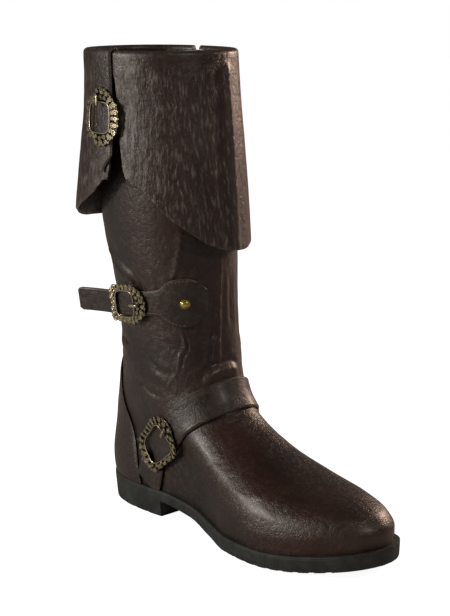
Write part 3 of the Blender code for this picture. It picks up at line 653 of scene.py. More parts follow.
def mixed(
    tree: NodeTree, share: NodeSocket, low: object, high: object
) -> NodeSocket:
    """Blend two colours by a share."""
    blend = node(tree, "ShaderNodeMix", {"data_type": "RGBA", "clamp_factor": True}, Factor=share)
    for index, value in ((6, low), (7, high)):
        if isinstance(value, NodeSocket):
            tree.links.new(value, blend.inputs[index])
        else:
            blend.inputs[index].default_value = value
    return blend.outputs[2]


def start_finish(name: str) -> tuple[Material, NodeTree, NodeSocket]:
    """Start a material, and give its tree and the place on the piece in metres."""
    made = bpy.data.materials.new(name)
    made.use_nodes = True
    tree = made.node_tree
    return made, tree, node(tree, "ShaderNodeTexCoord").outputs["Object"]


def close_finish(
    made: Material, colour: NodeSocket, relief: NodeSocket, **even: float
) -> Material:
    """Link a material's colour and relief, and set what is even all over it."""
    shader = made.node_tree.nodes["Principled BSDF"]
    made.node_tree.links.new(colour, shader.inputs["Base Color"])
    made.node_tree.links.new(relief, shader.inputs["Normal"])
    for name, value in even.items():
        shader.inputs[name.replace("_", " ")].default_value = value
    return made


@dataclass(frozen=True)
class Leather:
    """Waxed, pull-up calf leather: fine grain that catches light, paler where it is scuffed, with painted
    shade in creases and painted highlight on their crests.

    The grain cells are 1.2 to 1.5 mm wide, coarser than real calf, so that they show in the picture.
    """

    name: str
    dark: str = "#140b07"
    light: str = "#3f2e24"
    # The warm brown that the leather blends in: a random reddish tone, and on the upper and cuff also
    # painted light from the lamp on the front side.
    warm: str = "#3c1c10"
    # The colour of the painted silvery highlight on the cuff's crackle crests.
    crest_highlight: str = "#776e68"
    roughness: float = 0.38
    coat: float = 0.2
    grain: float = 1.5
    crackle: float = 0.0
    bump: float = 0.6

    def build(self) -> Material:
        """Make the leather's shader: painted shade in the folds, painted highlight and paler flecks on the
        crests, and a sheen.
        """
        made, tree, place = start_finish(self.name)
        edges = {"feature": "DISTANCE_TO_EDGE"}
        cells = node(tree, "ShaderNodeTexVoronoi", edges, Vector=place, Scale=1 / (self.grain * MM))
        pore = stretched(tree, cells.outputs["Distance"], 0.0, 0.25)
        wrinkle = cloud(tree, place, 230.0, 4.0, 0.55)
        patch = stretched(tree, cloud(tree, place, 34.0, 5.0, 0.6), 0.36, 0.7)
        # Blend towards the pale brown by random patches, flecks and the piece's marks: scuffs, plus painted
        # shade in creases and painted highlight on their crests.
        rub_and_shading = reckon(tree, "MULTIPLY_ADD", patch, 0.34, carried(tree, "wear_and_shading"))
        fleck = reckon(tree, "MULTIPLY", stretched(tree, wrinkle, 0.5, 0.72), patch)
        paleness_and_shading = reckon(tree, "MULTIPLY_ADD", fleck, 0.7, rub_and_shading)
        base = mixed(tree, carried(tree, "warmth_and_side_light"), linear(self.dark), linear(self.warm))
        colour = mixed(tree, paleness_and_shading, base, linear(self.light))
        gloss = node(
            tree, "ShaderNodeMapRange", None, Value=wrinkle, From_Min=0.3, From_Max=0.7,
            To_Min=self.roughness - 0.08, To_Max=self.roughness + 0.12,
        )
        tree.links.new(gloss.outputs[0], tree.nodes["Principled BSDF"].inputs["Roughness"])
        relief = raised(tree, wrinkle, 1.3 * MM, self.bump, raised(tree, pore, 0.12 * MM, self.bump))
        if self.crackle:
            colour, relief = self.crackled(tree, colour, relief)
        return close_finish(made, colour, relief, Coat_Weight=self.coat, Coat_Roughness=0.3, IOR=1.48)

    def crackled(
        self, tree: NodeTree, colour: NodeSocket, under: NodeSocket
    ) -> tuple[NodeSocket, NodeSocket]:
        """Add the upright crackle of folded leather, with a painted silvery highlight on its crests.

        Args:
            tree: the leather's node tree.
            colour: its colour without the crackle.
            under: its relief without the crackle.

        Returns:
            The colour and the relief with the crackle.
        """
        surface = node(tree, "ShaderNodeUVMap", {"uv_map": "surface"}).outputs[0]
        wander = node(tree, "ShaderNodeTexNoise", None, Vector=surface, Scale=60.0, Detail=3.0)
        bent = node(
            tree, "ShaderNodeVectorMath", {"operation": "MULTIPLY_ADD"},
            i0=wander.outputs["Color"], i1=(0.006, 0.006, 0.0), i2=surface,
        )
        long = node(tree, "ShaderNodeMapping", None, Vector=bent.outputs[0], Scale=(1.0, 0.2, 1.0))
        lines = cloud(tree, long.outputs[0], 400.0, 4.0, 0.6)
        zone = carried(tree, "crackle")
        # Painted silvery highlight on the crackle's crests, as far as the crackle zone reaches.
        share = reckon(tree, "MULTIPLY", stretched(tree, lines, 0.52, 0.72), zone)
        height = reckon(tree, "MULTIPLY", lines, zone)
        crest_highlight = mixed(tree, share, colour, linear(self.crest_highlight))
        return crest_highlight, raised(tree, height, 1.0 * MM, self.crackle, under)


@dataclass(frozen=True)
class Rubber:
    """Moulded black rubber: matt, faintly grey-green, with a fine mould texture and pale scuffs."""

    name: str = "moulded rubber"
    dark: str = "#1c1e1c"
    light: str = "#3a3d3a"

    def build(self) -> Material:
        """Make the rubber's shader."""
        made, tree, place = start_finish(self.name)
        speck = cloud(tree, place, 900.0, 3.0)
        dust = stretched(tree, cloud(tree, place, 70.0, 6.0, 0.7), 0.42, 0.75)
        colour = mixed(tree, dust, linear(self.dark), linear(self.light))
        relief = raised(tree, speck, 0.15 * MM, 0.4)
        return close_finish(made, colour, relief, Roughness=0.62, IOR=1.52)


@dataclass(frozen=True)
class Brass:
    """Cast zinc with an antique brass plating: dark in the hollows with patina and painted shade, scuffed
    bright on the crests.
    """

    name: str = "antique brass"
    hollow: str = "#0e0b07"
    crest: str = "#bdb195"
    roughness: float = 0.3

    def build(self) -> Material:
        """Make the metal's shader."""
        made, tree, place = start_finish(self.name)
        stain = cloud(tree, place, 420.0, 4.0)
        mottled = reckon(tree, "MULTIPLY_ADD", stain, 0.5, -0.25)
        # Hollow colour low down and crest colour high up, mottled: patina and painted shade in the hollows,
        # scuffed brass on the crests.
        share = reckon(tree, "ADD", carried(tree, "wear_and_shading"), mottled)
        colour = mixed(tree, share, linear(self.hollow), linear(self.crest))
        relief = raised(tree, stain, 0.1 * MM, 0.3)
        return close_finish(made, colour, relief, Metallic=0.9, Roughness=self.roughness)


@dataclass(frozen=True)
class Porous:
    """Matt stuff with small pores and soft patches of shade: the footbed and the waxed thread."""

    name: str
    tone: str
    shade: str

    def build(self) -> Material:
        """Make the shader."""
        made, tree, place = start_finish(self.name)
        pores = node(tree, "ShaderNodeTexVoronoi", None, Vector=place, Scale=1 / (1.6 * MM))
        colour = mixed(tree, cloud(tree, place, 45.0, 5.0), linear(self.shade), linear(self.tone))
        relief = raised(tree, pores.outputs["Distance"], 0.2 * MM, 0.3)
        return close_finish(made, colour, relief, Roughness=0.8)


def made_by(maker: type, *names: str, **values: object) -> Material:
    """Give a finish's field, which makes its material when the finishes are made."""
    return field(default_factory=lambda: maker(*names, **values).build())


@dataclass
class Finishes:
    """Every finish on the boot."""

    upper: Material = made_by(Leather, "waxed boot leather")
    cuff: Material = made_by(
        Leather, "crackled cuff leather", dark="#18110e", light="#4a3e38", roughness=0.4, crackle=0.9
    )
    strap: Material = made_by(
        Leather, "burnished strap leather", dark="#15100d", light="#4c3d34", warm="#2c1a14", grain=1.2
    )
    rubber: Material = made_by(Rubber)
    brass: Material = made_by(Brass)
    snap: Material = made_by(
        Brass, "polished snap brass", hollow="#5a4a20", crest="#cbb768", roughness=0.26
    )
    footbed: Material = made_by(Porous, "footbed leather", "#6a543f", "#4d3c2e")
    thread: Material = made_by(Porous, "waxed thread", "#86705a", "#5f4e40")


@dataclass(frozen=True)
class Wall:
    """The upper: one hollow leather wall with its creases, overlay edges and gathers."""

    last: Last
    rows: int = 236
    around: int = 240
    inner_rows: int = 60
    leather: float = 2.0 * MM
    swell: float = 0.45 * MM

    def relief(self, points: np.ndarray, normals: np.ndarray, level: np.ndarray) -> np.ndarray:
        """Give the height of every mark in the leather above its even surface."""
        rise = np.zeros(len(points))
        for crease in CREASES:
            rise += crease.rise(self.last, points, normals)
        soft = smooth(0.2, 0.7, level) * (1 - 0.6 * smooth(1.5, 1.7, level))
        rise += drift(points, 24 * MM, 3.1) * self.swell * (0.35 + soft)
        rise += drift(points, 9 * MM, 7.7) * 0.2 * MM * soft
        hidden = smooth(0.0, 0.03, level)
        return np.clip(rise * hidden, -1.5 * MM, 2.4 * MM)

    def build(self, finish: Material) -> Object:
        """Make the upper as one closed wall.

        Args:
            finish: its leather.

        Returns:
            The dressed piece.
        """
        last = self.last
        angles = np.linspace(0.0, 2 * math.pi, self.around, endpoint=False)[None, :]
        level = last.even_levels(0.0, 2.0, self.rows - 1)[:, None]
        flat = last.skin(level, angles)
        normal = last.slopes(level, angles)[2]
        levels = (level + 0 * angles).ravel()
        rise = self.relief(flat.reshape(-1, 3), normal.reshape(-1, 3), levels).reshape(flat.shape[:2])
        outer = flat + normal * rise[..., None]
        inside = last.even_levels(0.0, 2.0, self.inner_rows - 1)[::-1, None]
        inner = last.outside(inside, angles, -self.leather)
        inner[-1, :, 2] = flat[0, :, 2]
        points = np.concatenate((outer, inner))
        points[..., 2] += CLEARANCE
        # Paler on crease ridges and darker in their troughs: painted highlight and painted shade, with some
        # scuffing on the ridges; the toe is paler from scuffing.
        wear_and_shading = np.clip(rise / (1.6 * MM), -0.4, 0.6) * 0.5
        wear_and_shading += 0.35 * smooth(-225 * MM, -250 * MM, flat[..., 1])
        # Warmer, paler brown on the front half: a random reddish tone plus painted light from the lamp on
        # that side; less of it where the cuff covers the shaft.
        warmth_and_side_light = 0.5 + 0.5 * drift(flat, 40 * MM, 1.3)
        warmth_and_side_light *= smooth(-0.2, 0.5, -np.cos(angles)) * (1 - 0.5 * smooth(1.5, 1.9, level))
        blank = np.zeros(inner.shape[:2])
        marks = {"wear_and_shading": np.concatenate((wear_and_shading, blank)), "warmth_and_side_light": np.concatenate((warmth_and_side_light, blank))}
        faces = grid_faces(len(points), self.around, closed_rows=True, closed_columns=True)
        return add_piece("boot_upper", points, faces, Dressing(finish, "boot_leather", ("upper",)), marks)


@dataclass(frozen=True)
class Counter:
    """The leather laid round the heel, with a turned edge."""

    last: Last
    rows: int = 70
    columns: int = 110
    thickness: float = 1.4 * MM
    edge: float = 1.1 * MM
    heel_radius: float = 38 * MM
    level_rise: float = 110 * MM

    def build(self, finish: Material) -> Object:
        """Make the counter as one closed sheet."""
        last = self.last
        top = COUNTER.rows[-1, 0]
        level = np.linspace(0.004, top, self.rows)[:, None]
        turn = 2 * math.pi * COUNTER.read("turn", level)
        across = np.linspace(-1.0, 1.0, self.columns)[None, :]
        angle = turn * across
        base = CLEARANCE + FIT
        points = last.outside(level, angle, base)
        to_side = np.abs(turn) * (1 - np.abs(across)) * self.heel_radius
        to_top = (top - level) * self.level_rise + 0 * across
        near = np.minimum(to_side, to_top)
        height = base + self.thickness * (0.35 + 0.65 * smooth(0.0, self.edge, near))
        height += drift(points, 22 * MM, 5.0) * 0.18 * MM
        high = last.above_sole(last.outside(level, angle, height))
        low = last.above_sole(points)
        rings = np.concatenate((low, high[:, ::-1]), axis=1)
        worn_and_shaded = 0.5 * (1 - smooth(0.0, 2.2 * MM, near))
        wear_and_shading = np.concatenate((0 * worn_and_shaded, worn_and_shaded[:, ::-1]), axis=1)
        marks = {"wear_and_shading": wear_and_shading, "warmth_and_side_light": 0 * wear_and_shading + 0.2}
        faces = capped(self.rows, 2 * self.columns)
        dressing = Dressing(finish, "boot_leather", ("heel_counter",))
        return add_piece("heel_overlay", rings, faces, dressing, marks)


@dataclass(frozen=True)
class Sole:
    """The moulded rubber sole: low heel, waist, side ledge and cross-cut tread."""

    last: Last
    heel_taper: float = 2.2 * MM
    lip: float = 1.2 * MM
    tread_rim: float = 9 * MM
    edge_groove: float = 0.8 * MM
    groove_depth: float = 2.6 * MM
    groove_width: float = 3.6 * MM
    groove_pitch: float = 12.0 * MM

    def stations(self) -> np.ndarray:
        """Give stations and tread depths, close together round every groove."""
        last = self.last
        length = last.sole_length
        breast = last.heel_length / length
        edge, wall = self.groove_width / 2 / length, 0.5 * MM / length
        tread_start, tread_end = 0.50 * length, 0.955 * length
        count = int((tread_end - tread_start) / self.groove_pitch)
        grooves = [share * breast for share in (0.2, 0.4, 0.6, 0.8)]
        grooves += [(tread_start + (index + 0.5) * self.groove_pitch) / length for index in range(count)]
        ends = [0.0, 0.002, 0.005, 0.008, 0.992, 0.995, 0.998, 1.0]
        marks = [(station, 0.0) for station in [*np.linspace(0.012, 0.988, 190), *ends]]
        for middle in grooves:
            marks = [mark for mark in marks if abs(mark[0] - middle) > edge + 2 * wall]
        marks = [mark for mark in marks if abs(mark[0] - breast) > 3 * wall]
        for middle in grooves:
            marks += [(middle - edge - wall, 0.0), (middle - edge, self.groove_depth)]
            marks += [(middle + edge, self.groove_depth), (middle + edge + wall, 0.0)]
        marks += [(breast, 0.0), (breast + wall, 0.0)]
        return np.array(sorted(marks))

    def build(self, finish: Material) -> Object:
        """Make the sole as one closed body."""
        last = self.last
        station, groove = self.stations().T
        on_heel = station <= last.heel_length / last.sole_length
        low = np.where(on_heel, 0.0, last.sole_underside(station))
        inset = np.where(on_heel, self.heel_taper, self.lip / 2)
        high = last.sole_top(station)
        rows = (
            (low + groove, self.tread_rim + 0 * inset),
            (low + groove, self.tread_rim - 0.6 * MM + 0 * inset),
            (low + np.minimum(groove, self.edge_groove), inset + 1.4 * MM),
            (low + np.minimum(groove, self.edge_groove), inset + 0.8 * MM),
            (low + 0.5 * self.lip, inset + 0.25 * MM),
            (low + self.lip, inset),
            (mix(low, high, 0.4), inset * 0.55),
            (mix(low, high, 0.6), inset * 0.3),
            (mix(low, high, 0.8), inset * 0.05),
            (high - 2.1 * MM, 0.05 * MM + 0 * inset),
            (high - 1.75 * MM, 0.3 * MM + 0 * inset),
            (high - 1.45 * MM, 0.0 * inset),
            (high - 0.6 * MM, 0.1 * MM + 0 * inset),
            (high - 0.15 * MM, 0.45 * MM + 0 * inset),
            (high, 0.9 * MM + 0 * inset),
        )
        lateral = OUTLINE.read("lateral", station) * last.ball_width
        medial = OUTLINE.read("medial", station) * last.ball_width
        y = last.along(station)
        left = [np.stack((-np.maximum(lateral - cut, 0.4 * MM), y, z), -1) for z, cut in rows]
        right = [np.stack((np.maximum(medial - cut, 0.8 * MM), y, z), -1) for z, cut in rows]
        rings = np.stack(left + right[::-1], axis=1)
        faces = capped(len(station), 2 * len(rows))
        return add_piece("rubber_sole", rings, faces, Dressing(finish, "sole_rubber", ("outsole",), 30.0))


@dataclass(frozen=True)
class Footbed:
    """The insole: a leather-covered bed, dished under the heel."""

    last: Last
    thickness: float = 3.5 * MM
    dish: float = 0.8 * MM
    steps: int = 90
    across: int = 22

    def build(self, finish: Material) -> Object:
        """Make the footbed as one closed body."""
        last = self.last
        angle = np.linspace(0.025, 0.975, self.steps) * math.pi
        side = -2.0 * MM - 2 * FIT
        left = last.outside(0.0 * angle, angle, side)
        right = last.outside(0.0 * angle, 2 * math.pi - angle, side)
        low = last.sole_top((last.heel_length / 2 - left[:, 1]) / last.sole_length) + CLEARANCE
        share = np.linspace(0.0, 1.0, self.across)[None, :]
        x = mix(left[:, :1], right[:, :1], share)
        y = mix(left[:, 1:2], right[:, 1:2], share)
        hollow = self.dish * (1 - np.abs(2 * share - 1) ** 1.2)
        top = np.stack((x, y, low[:, None] + self.thickness - hollow + 0 * x), axis=-1)
        ends = np.stack((x, y, low[:, None] + 0 * x), axis=-1)[:, [-1, 0]]
        rings = np.concatenate((top, ends), axis=1)
        faces = capped(self.steps, self.across + 2)
        return add_piece("footbed", rings, faces, Dressing(finish, "footbed", ("insole",)))


@dataclass(frozen=True)
class Cuff:
    """The fold-over cuff: rolled at the top, slit on the lateral side, split on the medial side."""

    last: Last
    leather: float = 2.2 * MM
    drop: float = 160 * MM
    flare: float = 14.5 * MM
    lean: float = 0.5
    lean_turn: float = 0.12
    split: float = 0.79
    girth: float = 430 * MM
    fold_radius: float = 3.2 * MM
    fold_rise: float = 3.9 * MM
    fold_steps: int = 12
    split_width: float = 9 * MM
    slit_turn: float = 0.273
    slit_top: float = 0.08
    behind_columns: int = 110
    before_columns: int = 150
    slit_rows: int = 6
    free_rows: int = 74

    def point(self, turn: np.ndarray, drop: np.ndarray, out: np.ndarray) -> np.ndarray:
        """Give points beside the shaft, below its rim by a drop and outside its face."""
        last = self.last
        turn, drop, out = np.broadcast_arrays(turn, drop, out)
        rim = last.shaft_top + CLEARANCE
        level = last.level_at(np.minimum(last.shaft_top, rim - drop))
        here = last.skin(level, 2 * math.pi * turn)
        flat = last.slopes(level, 2 * math.pi * turn)[2] * np.array((1.0, 1.0, 0.0))
        flat /= np.linalg.norm(flat, axis=-1, keepdims=True)
        made = here + flat * np.asarray(out)[..., None]
        made[..., 2] = rim - drop
        return made

    def face(self, turn: Values, drop: Values) -> np.ndarray:
        """Give how far the cuff's outer face stands off the shaft."""
        lean = 1 + self.lean * np.cos(2 * math.pi * (turn - self.lean_turn))
        return self.fold_radius + self.leather / 2 + FLARE.read("out", drop / self.drop) * self.flare * lean

    def relief(self, turn: np.ndarray, drop: np.ndarray) -> np.ndarray:
        """Give the soft folds of the cuff's face."""
        from_ridge = (turn - 0.532 + 0.012 * drop / self.drop) * self.girth
        ridge = 2.4 * MM * np.exp(-((from_ridge / (4.2 * MM)) ** 2))
        beside = -0.8 * MM * np.exp(-(((turn - 0.505) * self.girth / (9 * MM)) ** 2))
        waves = np.stack((turn * self.girth, drop * 0.35, 0 * turn), -1)
        crumple = drift(waves, 10 * MM, 2.3) * 0.55 * MM + drift(waves, 4.2 * MM, 9.3) * 0.28 * MM
        swell = drift(waves, 38 * MM, 4.0) * 0.8 * MM
        away = smooth(3 * MM, 14 * MM, drop)
        return (ridge + beside + crumple * self.zone(turn) + swell) * away

    @staticmethod
    def zone(turn: np.ndarray) -> np.ndarray:
        """Give how crackled the face is, which also sets how much painted highlight its crests take: strong
        on the lateral side, smoother in front.
        """
        front = 1 - 0.75 * smooth(0.49, 0.56, turn)
        return front * (0.75 + 0.25 * smooth(0.2, 0.3, turn))

    def rows(self, start: float, end: float, columns: int, edge: str) -> tuple[np.ndarray, np.ndarray]:
        """Give turns and drops over one side of the cuff, following the slit at its inner end.

        Args:
            start: the turn where the side starts.
            end: the turn where it ends.
            columns: how many columns it has.
            edge: which of the slit's edges the side ends at.

        Returns:
            The turns and the drops, with the drop along the first axis.
        """
        share = np.linspace(0.0, 1.0, columns)[None, :]
        even = mix(start, end, share)
        hem = HEM.read("drop", even) * self.drop
        top = np.linspace(0.0, self.slit_top, self.slit_rows)[:-1, None] * self.drop + 0 * even
        below = mix(self.slit_top * self.drop, hem, np.linspace(0.0, 1.0, self.free_rows)[:, None])
        drop = np.concatenate((top, below))
        opened = np.sqrt(smooth(self.slit_top, self.slit_top + 0.06, drop / self.drop))
        at_slit = mix(self.slit_turn, SLIT.read(edge, drop / self.drop), opened)
        anchor = self.slit_turn
        near = 1 - np.clip(np.abs(even - anchor) / 0.05, 0.0, 1.0)
        return even + (at_slit - anchor) * near, drop

    def side(self, turn: np.ndarray, drop: np.ndarray) -> tuple[np.ndarray, ...]:
        """Give one side's rings as columns, with their scuffs and painted shading, crackle and surface
        places.
        """
        fold = float(self.face(0.0, 0.0))
        middle, reach = (fold - 2.0 * MM) / 2, (fold + 2.0 * MM) / 2
        first = turn[0]
        start = [self.point(first, -CLEARANCE, -2.0 * MM), self.point(first, -1.4 * MM, -2.0 * MM)]
        for degrees in np.linspace(140, 8, self.fold_steps):
            lean = math.radians(degrees)
            rise = self.fold_rise * math.sin(lean)
            start.append(self.point(first, -rise, middle + reach * math.cos(lean)))
        relief = self.relief(turn, drop)
        edge = smooth(0.0, 1.6 * MM, HEM.read("drop", turn) * self.drop - drop)
        face = self.face(turn, drop) + relief
        outer = self.point(turn, drop, face - 0.5 * self.leather * (1 - edge))
        inner = self.point(turn, drop, face - self.leather + 0.1 * self.leather * (1 - edge))
        finish = [self.point(first, -CLEARANCE, fold - 1.6 * self.leather)]
        rings = np.concatenate((np.array(start), outer[1:], inner[::-1], np.array(finish)))
        place = np.stack((turn * self.girth, drop), -1)
        lead = np.repeat(place[:1], len(start), axis=0)
        lead[..., 1] -= np.linspace(14 * MM, 0.0, len(start))[:, None]
        surface = np.concatenate((lead, place[1:], place[::-1], place[:1]))
        # Paler on the face's folds and darker between them, as painted highlight and painted shade; the
        # hem's cut edge is paler from scuffing.
        worn_and_shaded = np.clip(relief / (1.6 * MM), -0.3, 0.8) * 0.5 + 0.35 * (1 - edge)
        blank = np.zeros((1, turn.shape[1]))
        wear_and_shading = np.concatenate((np.repeat(blank + 0.1, len(start), 0), worn_and_shaded[1:], 0 * worn_and_shaded, blank))
        # Where the face crackles, and where its crests take the painted silvery highlight.
        crackled = self.zone(turn) * smooth(4 * MM, 16 * MM, drop)
        zone = np.concatenate((np.repeat(blank, len(start), 0), crackled[1:], 0 * worn_and_shaded, blank))
        return rings, surface, wear_and_shading, zone

    def build(self, finish: Material) -> Object:
        """Make the cuff as one closed body of two sides that meet above the slit."""
        half = self.split_width / 2 / self.girth
        behind = self.side(*self.rows(self.split - 1 + half, self.slit_turn, self.behind_columns, "behind"))
        before = self.side(*self.rows(self.slit_turn, self.split - half, self.before_columns, "before"))
        points, surface, wear_and_shading, zone = (
            np.concatenate((one.swapaxes(0, 1), two.swapaxes(0, 1))) for one, two in zip(behind, before)
        )
        count = points.shape[1]
        columns = self.behind_columns
        faces = grid_faces(columns, count, closed_columns=True)
        shift = columns * count
        faces += [
            tuple(number + shift for number in face)
            for face in grid_faces(self.before_columns, count, closed_columns=True)
        ]
        lead = 2 + self.fold_steps
        last_row = lead + self.slit_rows + self.free_rows - 3
        for start, turned in (((columns - 1) * count, False), (shift, True)):
            for row in range(lead + self.slit_rows - 2, last_row):
                back = 2 * last_row + 1 - row
                quad = (start + row, start + row + 1, start + back - 1, start + back)
                faces.append(quad[::-1] if turned else quad)
        end = shift + self.before_columns * count
        faces += [tuple(reversed(range(count))), tuple(range(end - count, end))]
        # Warmer, paler brown beyond the front ridge: painted light from the lamp on that side.
        warmth_and_side_light = 0.35 + 0.4 * smooth(0.5, 0.56, surface[..., 0] / self.girth)
        marks = {"wear_and_shading": wear_and_shading, "warmth_and_side_light": warmth_and_side_light, "crackle": zone}
        dressing = Dressing(finish, "cuff_leather", ("cuff",))
        return add_piece("folded_cuff", points, faces, dressing, marks, surface)


@dataclass(frozen=True)
class Strap:
    """A leather strap that lies on the skin, with rounded and burnished edges."""

    last: Last
    rows: Table
    width: float
    stand: float = 8 * MM
    thickness: float = STRAP_LEATHER
    across: int = 26
    turn_length: float = 400 * MM

    def frame_at(self, turn: np.ndarray) -> tuple[np.ndarray, ...]:
        """Give the level, angle and sideways direction of the strap's middle at turns."""
        step = 0.002
        level, angle = self.rows.read("level", turn), 2 * math.pi * turn
        ahead = self.last.skin(self.rows.read("level", turn + step), 2 * math.pi * (turn + step))
        behind = self.last.skin(self.rows.read("level", turn - step), 2 * math.pi * (turn - step))
        tangent = (ahead - behind) / np.linalg.norm(ahead - behind, axis=-1, keepdims=True)
        return level, angle, np.cross(self.last.slopes(level, angle)[2], tangent), tangent

    def over(self, turn: np.ndarray, share: np.ndarray, rise: np.ndarray) -> np.ndarray:
        """Give points over the strap's band.

        Args:
            turn: where along it.
            share: where across it, from -0.5 to 0.5.
            rise: how far above its underside.

        Returns:
            Points, held above the sole.
        """
        turn, share, rise = np.broadcast_arrays(turn, share, rise)
        level, angle, side, _ = self.frame_at(turn)
        breadth = self.rows.read("breadth", turn) * self.width
        level, angle = self.last.slide(level, angle, side * (breadth * share)[..., None])
        lift = CLEARANCE + FIT + self.rows.read("lift", turn) * self.stand + rise
        return self.last.above_sole(self.last.outside(level, angle, lift))

    def band(self, steps: int) -> tuple[np.ndarray, np.ndarray, np.ndarray]:
        """Give the strap's closed rings, their surface places and their wear."""
        turns = np.linspace(self.rows.rows[0, 0], self.rows.rows[-1, 0], steps + 1)[:, None]
        ease = np.sin(np.linspace(-math.pi / 2, math.pi / 2, self.across))[None, :] / 2
        breadth = self.rows.read("breadth", turns) * self.width
        to_edge = np.minimum(0.5 - np.abs(ease), 0.5) * breadth
        to_end = np.minimum(turns - turns[0], turns[-1] - turns) * self.turn_length
        near = np.minimum(to_edge, to_end)
        rounded = 1 - 0.45 * (1 - smooth(0.0, 1.3 * MM, near))
        stitched = 0.18 * MM * np.exp(-(((to_edge - 2.6 * MM) / (0.7 * MM)) ** 2))
        swell = drift(self.over(turns, ease, 0.0), 14 * MM, 6.0) * 0.25 * MM
        top = self.over(turns, ease, self.thickness * rounded - stitched + swell)
        low = self.over(turns, ease, 0.0)
        rings = np.concatenate((low, top[:, ::-1]), axis=1)
        place = np.stack((turns * self.turn_length + 0 * ease, ease * breadth), -1)
        surface = np.concatenate((place, place[:, ::-1]), axis=1)
        worn_and_shaded = 0.34 * (1 - smooth(0.2 * MM, 1.5 * MM, near)) + 0.2 * drift(low, 11 * MM, 8.0)
        wear_and_shading = np.concatenate((0 * worn_and_shaded, worn_and_shaded[:, ::-1]), axis=1)
        return rings, surface, wear_and_shading

    def build(self, name: str, steps: int, dressing: Dressing) -> Object:
        """Make the strap as one closed body."""
        rings, surface, wear_and_shading = self.band(steps)
        marks = {"wear_and_shading": wear_and_shading, "warmth_and_side_light": 0 * wear_and_shading + 0.35}
        return add_piece(name, rings, capped(*wear_and_shading.shape), dressing, marks, surface)

    def place(self, turn: float) -> Lay:
        """Give a function that lays flat points on the strap: across, along and out of it."""
        step = 0.004
        rows, last = self.rows, self.last
        level, angle = rows.read("level", turn), 2 * math.pi * turn
        ahead = last.skin(rows.read("level", turn + step), angle + 2 * math.pi * step)
        behind = last.skin(rows.read("level", turn - step), angle - 2 * math.pi * step)
        tangent = (ahead - behind) / np.linalg.norm(ahead - behind)
        side = np.cross(last.slopes(level, angle)[2], tangent)
        base = CLEARANCE + FIT + self.thickness + CLEARANCE + BUCKLE_SEAT

        def lay(flat: np.ndarray) -> np.ndarray:
            move = flat[:, :1] * side + flat[:, 1:2] * tangent
            spot = last.slide(np.full(len(flat), float(level)), np.full(len(flat), angle), move)
            stand = rows.read("lift", spot[1] / (2 * math.pi)) * self.stand
            return last.outside(*spot, base + stand + flat[:, 2])

        return lay


@dataclass(frozen=True)
class CalfStrap(Strap):
    """The calf strap: a snapped round end, a band through the buckle and a free end behind it."""

    free_length: float = 31 * MM
    free_steps: int = 26

    def free_end(self, first: np.ndarray, after: np.ndarray) -> np.ndarray:
        """Give the rings of the free end, which stands off behind the buckle.

        Args:
            first: the band's first ring.
            after: the band's second ring.

        Returns:
            Rings from the tip to just before the band.
        """
        ahead = (first - after).mean(axis=0) * np.array((1.0, 1.0, 0.0))
        ahead /= np.linalg.norm(ahead)
        away = np.array((-ahead[1], ahead[0], 0.0))
        away = -away if away[0] > 0 else away
        share = np.linspace(1.0, 0.0, self.free_steps, endpoint=False)[:, None, None]
        reach = self.free_length * share
        bow = self.free_length * 0.16 * share**2
        tip = smooth(0.0, 2.2 * MM, self.free_length * (1.001 - share))
        middle = first.mean(axis=0)
        shaped = middle + (first - middle) * mix(0.86, 1.0, tip)
        return shaped + ahead * reach + away * bow + np.array((0.0, 0.0, -1.5 * MM)) * share

    def build(self, name: str, steps: int, dressing: Dressing) -> Object:
        """Make the strap and its free end as one closed body."""
        rings, surface, wear_and_shading = self.band(steps)
        inner = rings[6], surface[6], wear_and_shading[6]
        turns = np.linspace(self.rows.rows[0, 0], self.rows.rows[-1, 0], steps + 1)
        span = np.linalg.norm((rings[7] - rings[6]).mean(axis=0)) / (turns[7] - turns[6])
        back = (turns[6] - turns[0]) * span
        longer = replace(self, free_length=self.free_length + back)
        free = longer.free_end(inner[0], rings[7])
        offset = np.linspace(self.free_length + back, 0.0, self.free_steps, endpoint=False)[:, None]
        place = np.repeat(inner[1][None], self.free_steps, axis=0)
        place[..., 0] -= offset
        tip_wear = 0.5 * (1 - smooth(0.0, 2.5 * MM, self.free_length + back - offset))
        worn_and_shaded = np.maximum(np.repeat(inner[2][None], self.free_steps, axis=0), tip_wear)
        rings = np.concatenate((free, rings[6:]))
        surface = np.concatenate((place, surface[6:]))
        wear_and_shading = np.concatenate((worn_and_shaded, wear_and_shading[6:]))
        marks = {"wear_and_shading": wear_and_shading, "warmth_and_side_light": 0 * wear_and_shading + 0.3}
        return add_piece(name, rings, capped(*wear_and_shading.shape), dressing, marks, surface)


